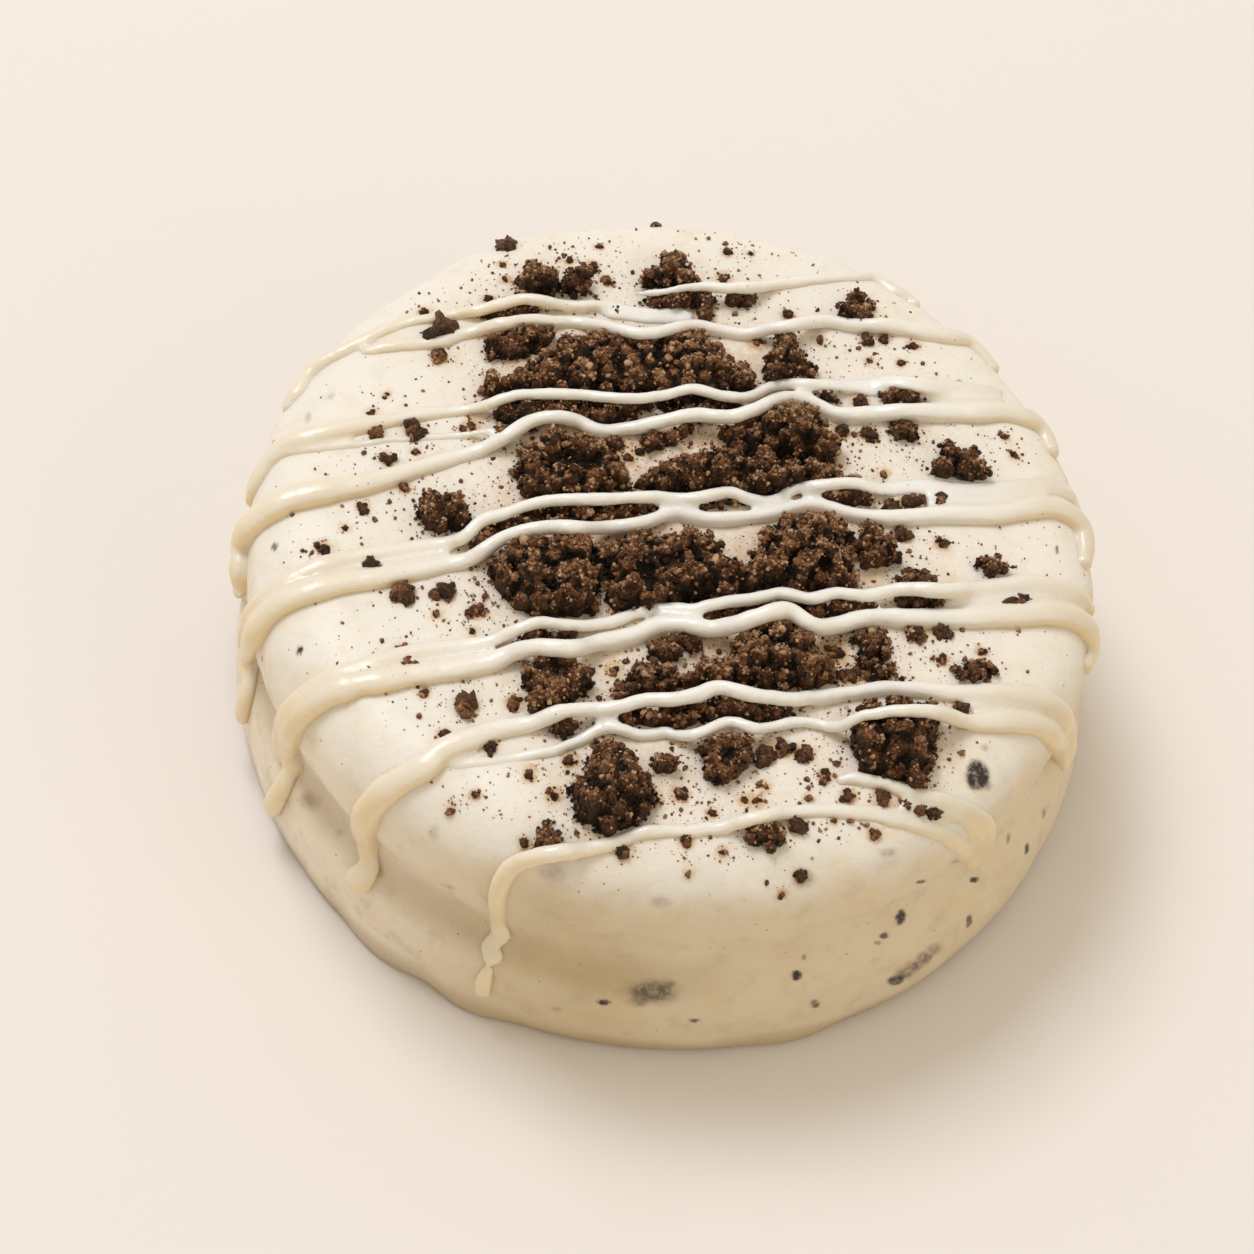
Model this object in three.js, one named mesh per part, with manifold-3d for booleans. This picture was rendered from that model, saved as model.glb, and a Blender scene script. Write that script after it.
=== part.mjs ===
// A sandwich cookie dipped whole in white chocolate, with drizzled strands and dark cookie crumbs on top.
// Millimetres, +Z up. The origin is the middle of the flat underside.

import * as THREE from 'three';
import { mergeVertices } from 'three/addons/utils/BufferGeometryUtils.js';
import Module from 'manifold-3d';

const wasm = await Module();
wasm.setup();

// The coated cookie: two wafers show as two tiers with a soft groove between them.
const TOTAL_HEIGHT = 17.5;
const DOME_DROP = 0.3;
const BASE_RADIUS = 24.8;
const UPPER_TIER = { radius: 25.2, centreHeight: 12.6, shoulderWidth: 5.5, shoulderHeight: 4.6 };
const LOWER_TIER = { radius: 26.0, centreHeight: 2.8, shoulderWidth: 4.6, shoulderHeight: 4.8 };
const SHOULDER_POWER = 2.6;
const UPPER_ARC = { from: -50, to: 90, steps: 7 };
const LOWER_ARC = { from: -26, to: 62, steps: 5 };
const DOME_STEPS = 2;
const TURN_SEGMENTS = 40;

// The lower wafer sits a little to the right of the upper one.
const LOWER_TIER_SHIFT = 0.25;

// Where the coating fills the groove, and where it ran out into a small foot, by azimuth in degrees.
const GROOVE = { height: 7.4, halfHeight: 2.4, fill: 0.95, fillAzimuth: -30, fillHalfAngle: 62 };
const FOOT_POOLS = [
  { azimuth: -121, halfAngle: 9, reach: 0.45 },
  { azimuth: -107, halfAngle: 8, reach: 0.5 },
  { azimuth: -64, halfAngle: 8, reach: 0.3 },
  { azimuth: 95, halfAngle: 12, reach: 0.4 },
  { azimuth: 150, halfAngle: 9, reach: 0.45 },
];
const FOOT_HEIGHT = 1.6;

// The drizzle lies half sunk on the coating, and steps up over the crumbs below it.
const STRAND_SIDES = 5;
const STRAND_STEP = 3;
const STRAND_SINK = 0.25;
const CRUMB_PRESS = 0.35;
const DRIP_SIDES = { around: 6, down: 4 };

// Crumbs sit with their lower part in the coating. A large one has finer facets.
const CHUNK_LIFT = 0.3;
const CHUNK_ROUGHNESS = 0.17;
const LARGE_CHUNK_HALF_WIDTH = 2;
const LOOSE_CRUMBS = { count: 16, smallest: 0.55, largest: 0.85, spread: 13, centreX: 2, reach: 21, seed: 11 };

const COATING = { color: 0xe9e0cf, roughness: 0.42, metalness: 0.0 };

// Large crumbs, as x, y, half width, half depth and half height, from the far edge to the near edge.
const CHUNKS = [
  [-11.0, 16.3, 1.4, 1.3, 1.2], [-8.4, 16.8, 1.2, 1.2, 1.1], [-2.8, 18.6, 1.5, 1.3, 1.4], [1.6, 17.5, 1.3, 0.9, 0.7],
  [8.7, 17.9, 1.5, 1.1, 0.9], [-11.1, 11.0, 1.7, 1.3, 0.8], [-8.0, 11.0, 2.0, 1.6, 1.1], [-4.5, 10.6, 2.1, 1.8, 1.4],
  [-1.1, 11.3, 2.2, 2.0, 1.5], [2.0, 12.0, 1.8, 1.8, 1.4], [5.0, 13.4, 1.8, 1.9, 1.5],
  [12.1, 12.0, 1.6, 0.9, 0.8], [15.9, 7.2, 1.8, 1.4, 1.0],
  [-8.2, 1.8, 2.1, 1.8, 1.3], [-5.0, 2.3, 2.0, 1.7, 1.3], [-1.2, 2.6, 1.6, 1.1, 0.8], [1.8, 3.6, 1.9, 1.4, 1.2],
  [4.2, 6.0, 1.8, 1.7, 1.4], [6.8, 6.8, 2.5, 2.0, 1.9], [-13.6, -2.4, 1.8, 1.6, 1.4],
  [-8.5, -7.0, 2.3, 2.4, 2.0], [-5.2, -5.5, 2.4, 2.6, 2.2], [-1.7, -5.0, 2.1, 2.3, 2.0], [1.0, -2.8, 2.2, 2.4, 2.5],
  [3.5, -4.6, 1.5, 1.7, 1.4], [5.8, -2.6, 1.8, 2.3, 2.1], [8.8, -1.8, 2.0, 2.5, 2.2], [11.6, 0.0, 1.5, 1.5, 1.2],
  [14.4, -1.5, 1.2, 1.0, 0.8], [18.7, 0.3, 1.5, 0.9, 0.8], [1.7, -9.1, 1.8, 1.1, 0.9], [3.7, -9.7, 1.3, 1.4, 1.1],
  [5.8, -9.1, 1.6, 2.0, 1.6], [8.4, -8.5, 1.8, 2.0, 1.7], [12.1, -7.2, 1.4, 1.5, 1.2], [18.2, -7.3, 1.6, 1.0, 0.9],
  [-5.4, -13.1, 2.0, 1.9, 1.5], [-0.8, -11.6, 1.7, 1.2, 0.9], [13.9, -13.8, 2.7, 2.5, 1.9],
  [4.4, -16.5, 1.5, 1.6, 1.4], [-1.4, -20.0, 2.7, 2.6, 2.3], [-10.1, -15.4, 1.0, 0.8, 0.7],
  [-4.5, -22.6, 0.9, 1.1, 0.9], [7.5, -20.7, 0.9, 0.9, 0.8],
];

const degrees = THREE.MathUtils.degToRad;

// A bell that is 1 at 0 and falls to nothing at 1.
function bell(distance) {
  const inside = Math.max(0, 1 - distance * distance);
  return inside * inside;
}

// A small seeded generator, so that every run gives the same crumbs.
function seededRandom(seed) {
  let state = seed;
  return () => {
    state = (state * 16807) % 2147483647;
    return state / 2147483647;
  };
}

// The side of a rounded tier, from one angle to another, as distance from the middle and height.
function tierArc(tier, { from, to, steps }) {
  const points = [];
  for (let step = 0; step <= steps; step += 1) {
    const angle = degrees(from + ((to - from) * step) / steps);
    const across = Math.abs(Math.cos(angle)) ** (2 / SHOULDER_POWER);
    const up = Math.sign(Math.sin(angle)) * Math.abs(Math.sin(angle)) ** (2 / SHOULDER_POWER);
    const radius = tier.radius - tier.shoulderWidth * (1 - across);
    points.push(new THREE.Vector2(radius, tier.centreHeight + tier.shoulderHeight * up));
  }
  return points;
}

// The height of the gently domed top at a distance from the middle.
function domeHeight(radius) {
  return TOTAL_HEIGHT - DOME_DROP * (radius / (UPPER_TIER.radius - UPPER_TIER.shoulderWidth)) ** 2;
}

function cookieProfile() {
  const points = [new THREE.Vector2(0, 0), new THREE.Vector2(BASE_RADIUS, 0)];
  points.push(...tierArc(LOWER_TIER, LOWER_ARC), ...tierArc(UPPER_TIER, UPPER_ARC));
  const rim = UPPER_TIER.radius - UPPER_TIER.shoulderWidth;
  for (let step = DOME_STEPS - 1; step >= 0; step -= 1) {
    const radius = (rim * step) / DOME_STEPS;
    points.push(new THREE.Vector2(radius, domeHeight(radius)));
  }
  return points;
}

// How far the coating stands out from the turned shape at an azimuth and a height.
function coatingSwell(azimuth, height) {
  const awayFromFill = THREE.MathUtils.euclideanModulo(azimuth - GROOVE.fillAzimuth + 180, 360) - 180;
  const grooveBand = bell((height - GROOVE.height) / GROOVE.halfHeight);
  let swell = GROOVE.fill * grooveBand * bell(awayFromFill / GROOVE.fillHalfAngle);
  if (height < GROOVE.height) swell += LOWER_TIER_SHIFT * Math.cos(degrees(azimuth));
  for (const pool of FOOT_POOLS) {
    swell += pool.reach * bell((azimuth - pool.azimuth) / pool.halfAngle) * bell(height / FOOT_HEIGHT);
  }
  return swell;
}

function cookieGeometry() {
  const geometry = new THREE.LatheGeometry(cookieProfile(), TURN_SEGMENTS);
  geometry.rotateX(Math.PI / 2);
  const position = geometry.attributes.position;
  for (let index = 0; index < position.count; index += 1) {
    const x = position.getX(index);
    const y = position.getY(index);
    const radius = Math.hypot(x, y);
    if (radius > BASE_RADIUS / 2) {
      const azimuth = THREE.MathUtils.radToDeg(Math.atan2(y, x));
      const scale = 1 + coatingSwell(azimuth, position.getZ(index)) / radius;
      position.setXY(index, x * scale, y * scale);
    }
  }
  return geometry;
}

// A place on the domed top, and a place on the side at an azimuth and a height.
function top(x, y) {
  return new THREE.Vector3(x, y, domeHeight(Math.hypot(x, y)));
}

function side(azimuth, height) {
  const angle = degrees(azimuth);
  return new THREE.Vector3(UPPER_TIER.radius * Math.cos(angle), UPPER_TIER.radius * Math.sin(angle), height);
}

// The point of the coating nearest to a place, then raised off it by a lift.
const SURFACE_LINE = new THREE.Path(cookieProfile()).getSpacedPoints(400);

function onCoating(place, lift) {
  const spot = new THREE.Vector2(Math.hypot(place.x, place.y), place.z);
  let nearest = 1;
  for (let index = 1; index < SURFACE_LINE.length - 1; index += 1) {
    if (SURFACE_LINE[index].distanceTo(spot) < SURFACE_LINE[nearest].distanceTo(spot)) nearest = index;
  }
  const along = SURFACE_LINE[nearest + 1].clone().sub(SURFACE_LINE[nearest - 1]).normalize();
  const azimuth = Math.atan2(place.y, place.x);
  const swell = coatingSwell(THREE.MathUtils.radToDeg(azimuth), SURFACE_LINE[nearest].y);
  const radius = SURFACE_LINE[nearest].x + along.y * lift + swell;
  const height = SURFACE_LINE[nearest].y - along.x * lift;
  return new THREE.Vector3(radius * Math.cos(azimuth), radius * Math.sin(azimuth), height);
}

// The drizzle, from the far edge to the near edge, each strand from left to right.
const STRANDS = [
  { radius: 0.55, path: [top(-4.8, 15.7), top(-1.5, 16.9), top(2, 17.5), top(5.2, 18.9), top(8.2, 20), side(62, 15.5), side(60, 12.5)] },
  { radius: 0.6, path: [side(164, 12.6), side(160, 15), top(-20.4, 8.6), top(-16, 11.8), top(-11.5, 14.5), top(-6, 14.5), top(-1.2, 14.6)] },
  { radius: 0.6, path: [side(163, 13.5), top(-20.2, 8), top(-16, 10.3), top(-12.2, 12.6), top(-7, 12.9), top(-3.7, 12.7),
    top(0, 13.8), top(4, 14.7), top(7.8, 16.2), top(13, 16.7), top(16.2, 16.4), side(43, 14.8), side(40, 12)] },
  { radius: 0.55, path: [side(188, 10.5), side(182, 13.8), top(-21, 2), top(-15.7, 4.6), top(-10.4, 7), top(-4, 7.3), top(0, 8.8),
    top(2.9, 8.9), top(6, 10.7), top(11.4, 12.6), top(17, 12.8), side(31, 14.8), side(27, 12)] },
  { radius: 0.45, path: [top(-22.2, 0.6), top(-18.6, 1.8), top(-15, 2.9), top(-11.5, 4.1)] },
  { radius: 0.62, path: [side(202, 7.6), side(199, 11), side(193, 14.6), top(-18.8, -1.4), top(-12.8, 2.1), top(-9.4, 5.2),
    top(-5.5, 4.7), top(-1.4, 6), top(3.4, 8), top(6.2, 9.6), top(9, 9.3), top(14, 10.8), top(18.2, 11.4), side(26, 14.4), side(23, 11.6)] },
  { radius: 0.5, path: [side(203, 12.5), top(-20.2, -8), top(-14.2, -5), top(-11.4, -2.8), top(-7, -0.8), top(-2, 0.2), top(3.2, 1.4),
    top(7.8, 3.4), top(13.6, 5), top(19.4, 5.6), side(13, 14.5), side(9, 12)] },
  { radius: 0.62, path: [side(206, 7.6), side(205, 10.5), side(203, 14.6), top(-19, -9.2), top(-12.6, -6), top(-7.8, -2.9), top(-2, -1.7),
    top(3.4, -0.3), top(7.4, 1.9), top(10.8, 2.1), top(15.8, 3.5), top(20.4, 4.6), side(7, 14.2), side(3, 11.4)] },
  { radius: 0.55, path: [side(215, 8.2), side(216, 12), side(219, 15.2), top(-15.6, -14), top(-9.8, -11.3), top(-6.5, -9.6), top(-2, -8.4),
    top(3.3, -6.4), top(8, -4.9), top(13.4, -2.6), top(19, -1.2), side(-2, 14.6), side(-7, 11.6), side(-10, 9.8)] },
  { radius: 0.65, path: [side(218, 8), side(217, 12), side(221, 15.4), top(-15, -15), top(-9.3, -12.6), top(-5, -11.2), top(-0.4, -8.8),
    top(3, -8.3), top(6.8, -6.1), top(9.4, -6.5), top(14.5, -4.5), top(19.9, -3.5), side(-7, 14.6), side(-11, 11.8), side(-14, 9.6)] },
  { radius: 0.68, path: [side(234, 5.4), side(235, 9), side(234, 12.3), side(236, 15.4), top(-11.3, -19.2), top(-6.8, -16.8), top(-1.8, -14.8),
    top(3.6, -12.5), top(8, -11.8), top(13, -9.8), top(19, -9), side(-22, 14.6), side(-26, 11.8), side(-25, 10)] },
  { radius: 0.5, path: [top(-10.8, -19.6), top(-6.4, -18.9), top(-2.3, -16.3), top(2.2, -15.8), top(5, -14.4), top(9, -13.2), top(13.8, -11.3),
    top(18, -11.4), side(-28, 14.4), side(-27, 11.6)] },
  { radius: 0.55, path: [side(256, 5.6), side(255, 9), side(255, 12.6), side(258, 15.8), top(-1.8, -23.2), top(3.5, -22), top(8.2, -19.8),
    top(12.7, -18.4), top(16.2, -17.2), side(-43, 14.4), side(-38, 11.4)] },
  { radius: 0.5, path: [top(9.3, -18.1), top(12, -16.7), top(15.6, -16.4), side(-41, 15.4), side(-37, 12.2), side(-36, 10)] },
];

// Rounded drip ends and the lobes where two strands run together, as a place and a radius.
const DRIPS = [
  [side(202, 7.4), 0.95], [side(205, 4.8), 0.85], [side(206, 7.2), 0.9], [side(216, 5.8), 0.9], [side(212, 3.4), 0.95],
  [side(234, 4.7), 1.15], [side(256, 5.2), 0.95], [side(254, 2.8), 0.75], [side(61, 14.4), 1.0], [side(42, 13.4), 1.0],
  [side(26, 13.2), 1.0], [side(7, 12.8), 1.0], [side(-8, 11.8), 1.05], [side(-25, 12), 1.05], [side(-39, 12.2), 1.1],
  [side(-36, 9.4), 0.9],
];

// How high the crumbs stand at a place, for the strands that cross them.
function crumbHeight(x, y) {
  let highest = 0;
  for (const [chunkX, chunkY, halfWidth, halfDepth, halfHeight] of CHUNKS) {
    const distance = ((x - chunkX) / halfWidth) ** 2 + ((y - chunkY) / halfDepth) ** 2;
    const standing = halfHeight * (CHUNK_LIFT + Math.sqrt(Math.max(0, 1 - distance)));
    if (distance < 1) highest = Math.max(highest, domeHeight(Math.hypot(x, y)) + standing);
  }
  return highest;
}

// The middle line of a strand: pressed onto the coating, then raised over the crumbs and evened out.
function strandLine(strand) {
  const rough = new THREE.CatmullRomCurve3(strand.path, false, 'centripetal');
  const steps = Math.max(4, Math.round(rough.getLength() / STRAND_STEP));
  const points = rough.getSpacedPoints(steps).map((point) => onCoating(point, strand.radius - STRAND_SINK));
  const raised = points.map((point) => Math.max(point.z, crumbHeight(point.x, point.y) - CRUMB_PRESS));
  points.forEach((point, index) => {
    const before = raised[Math.max(0, index - 1)];
    const after = raised[Math.min(raised.length - 1, index + 1)];
    point.z = Math.max(point.z, (before + 2 * raised[index] + after) / 4);
  });
  return new THREE.CatmullRomCurve3(points, false, 'centripetal');
}

function strandGeometry(strand) {
  const line = strandLine(strand);
  const corners = [];
  for (let corner = 0; corner < STRAND_SIDES; corner += 1) {
    const angle = (2 * Math.PI * corner) / STRAND_SIDES;
    corners.push(new THREE.Vector2(strand.radius * Math.cos(angle), strand.radius * Math.sin(angle)));
  }
  const section = new THREE.Shape(corners);
  return new THREE.ExtrudeGeometry(section, { steps: line.points.length - 1, extrudePath: line, bevelEnabled: false });
}

function dripGeometry([place, radius]) {
  const centre = onCoating(place, 0);
  const geometry = new THREE.SphereGeometry(radius, DRIP_SIDES.around, DRIP_SIDES.down);
  return geometry.translate(centre.x, centre.y, centre.z);
}

// A rough lump: each corner of a faceted ball is moved in or out a little.
function lumpGeometry([x, y, halfWidth, halfDepth, halfHeight], detail, random) {
  const ball = new THREE.IcosahedronGeometry(1, detail);
  ball.deleteAttribute('normal');
  ball.deleteAttribute('uv');
  const geometry = mergeVertices(ball, 1e-4);
  const position = geometry.attributes.position;
  for (let index = 0; index < position.count; index += 1) {
    const scale = 1 + CHUNK_ROUGHNESS * (2 * random() - 1);
    position.setXYZ(index, position.getX(index) * scale, position.getY(index) * scale, position.getZ(index) * scale);
  }
  geometry.rotateZ(2 * Math.PI * random());
  geometry.scale(halfWidth, halfDepth, halfHeight);
  const centre = onCoating(top(x, y), halfHeight * CHUNK_LIFT);
  return geometry.translate(centre.x, centre.y, centre.z);
}

function crumbGeometries() {
  const random = seededRandom(LOOSE_CRUMBS.seed);
  const lumps = CHUNKS.map((chunk) => lumpGeometry(chunk, chunk[2] > LARGE_CHUNK_HALF_WIDTH ? 1 : 0, random));
  while (lumps.length < CHUNKS.length + LOOSE_CRUMBS.count) {
    const x = LOOSE_CRUMBS.centreX + LOOSE_CRUMBS.spread * (random() + random() + random() - 1.5);
    const y = LOOSE_CRUMBS.reach * (2 * random() - 1);
    const size = LOOSE_CRUMBS.smallest + (LOOSE_CRUMBS.largest - LOOSE_CRUMBS.smallest) * random();
    if (Math.hypot(x, y) < LOOSE_CRUMBS.reach && crumbHeight(x, y) === 0) {
      lumps.push(lumpGeometry([x, y, size, size, size], 0, random));
    }
  }
  return lumps;
}

// A geometry as a closed solid that can be joined.
function solidFrom(geometry) {
  geometry.deleteAttribute('normal');
  geometry.deleteAttribute('uv');
  const merged = mergeVertices(geometry, 1e-4);
  return new wasm.Manifold(new wasm.Mesh({
    numProp: 3,
    vertProperties: new Float32Array(merged.attributes.position.array),
    triVerts: new Uint32Array(merged.index.array),
  }));
}

// Everything is joined into one solid. The largest closed shell is kept, which fills sealed hollows.
function dippedCookieGeometry() {
  let solid = solidFrom(cookieGeometry());
  const toppings = [...crumbGeometries(), ...STRANDS.map(strandGeometry), ...DRIPS.map(dripGeometry)];
  for (const topping of toppings) solid = solid.add(solidFrom(topping));
  const shells = solid.decompose();
  shells.sort((one, other) => other.volume() - one.volume());
  const mesh = shells[0].getMesh();
  const geometry = new THREE.BufferGeometry();
  geometry.setAttribute('position', new THREE.BufferAttribute(mesh.vertProperties, mesh.numProp));
  geometry.setIndex(new THREE.BufferAttribute(mesh.triVerts, 1));
  geometry.computeVertexNormals();
  return geometry;
}

const dippedCookie = new THREE.Mesh(dippedCookieGeometry(), new THREE.MeshStandardMaterial(COATING));
dippedCookie.name = 'dipped_cookie';

const cookie = new THREE.Group();
cookie.add(dippedCookie);

export default cookie;
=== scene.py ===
import math

import bmesh
import bpy
import numpy as np
from mathutils import Matrix, Vector
from mathutils.kdtree import KDTree


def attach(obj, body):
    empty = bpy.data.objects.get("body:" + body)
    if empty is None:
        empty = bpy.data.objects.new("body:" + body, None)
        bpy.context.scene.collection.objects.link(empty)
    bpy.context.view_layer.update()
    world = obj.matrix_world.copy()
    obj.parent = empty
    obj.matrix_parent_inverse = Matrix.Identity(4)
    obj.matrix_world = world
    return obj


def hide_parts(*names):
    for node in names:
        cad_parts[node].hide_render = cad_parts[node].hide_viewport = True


bl_info = {
    "name": "White Chocolate Dipped Cookie",
    "version": (1, 0, 0),
    "blender": (4, 5, 0),
    "location": "3D View > Sidebar > Cookie",
    "description": "Builds a sandwich cookie dipped in white chocolate, with drizzle and dark crumbs",
    "category": "Object",
}

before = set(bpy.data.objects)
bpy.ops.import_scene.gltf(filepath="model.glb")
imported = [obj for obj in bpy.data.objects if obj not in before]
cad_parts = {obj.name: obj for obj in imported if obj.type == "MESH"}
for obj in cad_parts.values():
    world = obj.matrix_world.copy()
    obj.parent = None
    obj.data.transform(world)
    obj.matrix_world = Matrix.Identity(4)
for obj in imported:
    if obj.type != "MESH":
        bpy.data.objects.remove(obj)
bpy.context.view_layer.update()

# Shapes are worked out in millimetres, as in the part, and scaled when they become meshes.
MM = 0.001

# What the operators share, by the settings that it was worked out with.
GROUNDWORK = {}

# The coated cookie: two wafers show as two tiers with a soft groove between them. The rounded side of a
# tier has a height for its middle, how far it curves across and up, and a first and a last angle.
BASE_RADIUS = 24.8
SHOULDER_POWER = 2.6
UPPER_TIER = {"centre": 12.6, "across": 5.5, "up": 4.6, "start": -50, "end": 90}
LOWER_TIER = {"centre": 2.8, "across": 4.6, "up": 4.8, "start": -26, "end": 62}
LOWER_TIER_SHIFT = 0.25
DOME_DROP = 0.3

# How finely the coating is divided: points on the side of a tier, millimetres along the profile, and every
# how many rows one is kept on the underside and inside a radius on the top.
ARC_STEPS = 60
PROFILE_SPACING = 0.17
UNDERSIDE = {"height": 0.01, "step": 12}
TOP_MIDDLE = {"radius": 20, "step": 2}
# Degrees between the lines up the coating: fine on the side that the photo shows, and coarser behind.
FRONT_TURN = {"start": -192, "end": 10, "step": 0.4}
REAR_STEP = 1.0

# The waves of the dipped surface, as size, seed and share. They grow from the foot up to a height, and only a
# share of them is left on the top.
WAVES = ((7, 3, 1), (3, 4, 0.5))
WAVE_FOOT = 1.5
TOP_WAVES = {"share": 0.35, "start": 15, "end": 17.2}

# The groove: how deep the coating fills it all round, and more so at one side, by azimuth in degrees and
# height, and how far up and down its edges are softened.
GROOVE = {
    "height": 7.8, "half_height": 3.2, "all_round": 0.4, "fill": 0.8, "azimuth": -35, "half_angle": 95,
    "soft_height": 5.0, "soft_rounds": 86,
}

# What stands out from the turned shape fades away towards the middle inside this radius.
SWELL_RADIUS = 12

# Where the coating ran out into a small foot of this height: azimuth, half angle and reach.
FOOT_HEIGHT = 1.6
FOOT_POOLS = ((-121, 9, 0.45), (-107, 8, 0.5), (-64, 8, 0.3), (95, 12, 0.4), (150, 9, 0.45))

# Dents and swellings of the side: azimuth, height, half angle, half height and how far it stands out.
SIDE_DENTS = (
    (120, 13, 16, 6, 0.35), (140, 12, 12, 6, -0.2), (75, 14, 14, 5, 0.3), (-150, 3, 30, 4, -0.3),
    (-112, 7, 14, 2.2, -0.35), (-135, 8, 10, 2.0, -0.2), (-90, 6, 16, 2.5, 0.25), (-20, 9, 16, 4, -0.25),
    (-48, 5, 14, 4, 0.25), (10, 8, 14, 3, 0.3),
)

# The grid of radius and height in which the nearest point of the profile is looked up.
TABLE_STEP = 0.1
TABLE_RADIUS = 48.0
TABLE_HEIGHTS = (-6.0, 45.0)

# The camera: its distance, the photo's width and focal length in pixels, where the cookie's middle shows in
# the photo, and the width of the sensor.
CAMERA_DISTANCE = 220
PHOTO_WIDTH = 1254
FOCAL_PIXELS = 3630
MIDDLE_PIXEL = (663.4, 614.0)
SENSOR_WIDTH = 36
PIXELS_PER_MM = FOCAL_PIXELS / CAMERA_DISTANCE
# A line of sight starts short of the cookie's middle and is followed in steps until it is close to the
# coating, or farther off again than where it was closest.
SIGHT = {"short": 40, "steps": 90, "close": 0.003, "least_step": 0.004, "farther": 4}

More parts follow.
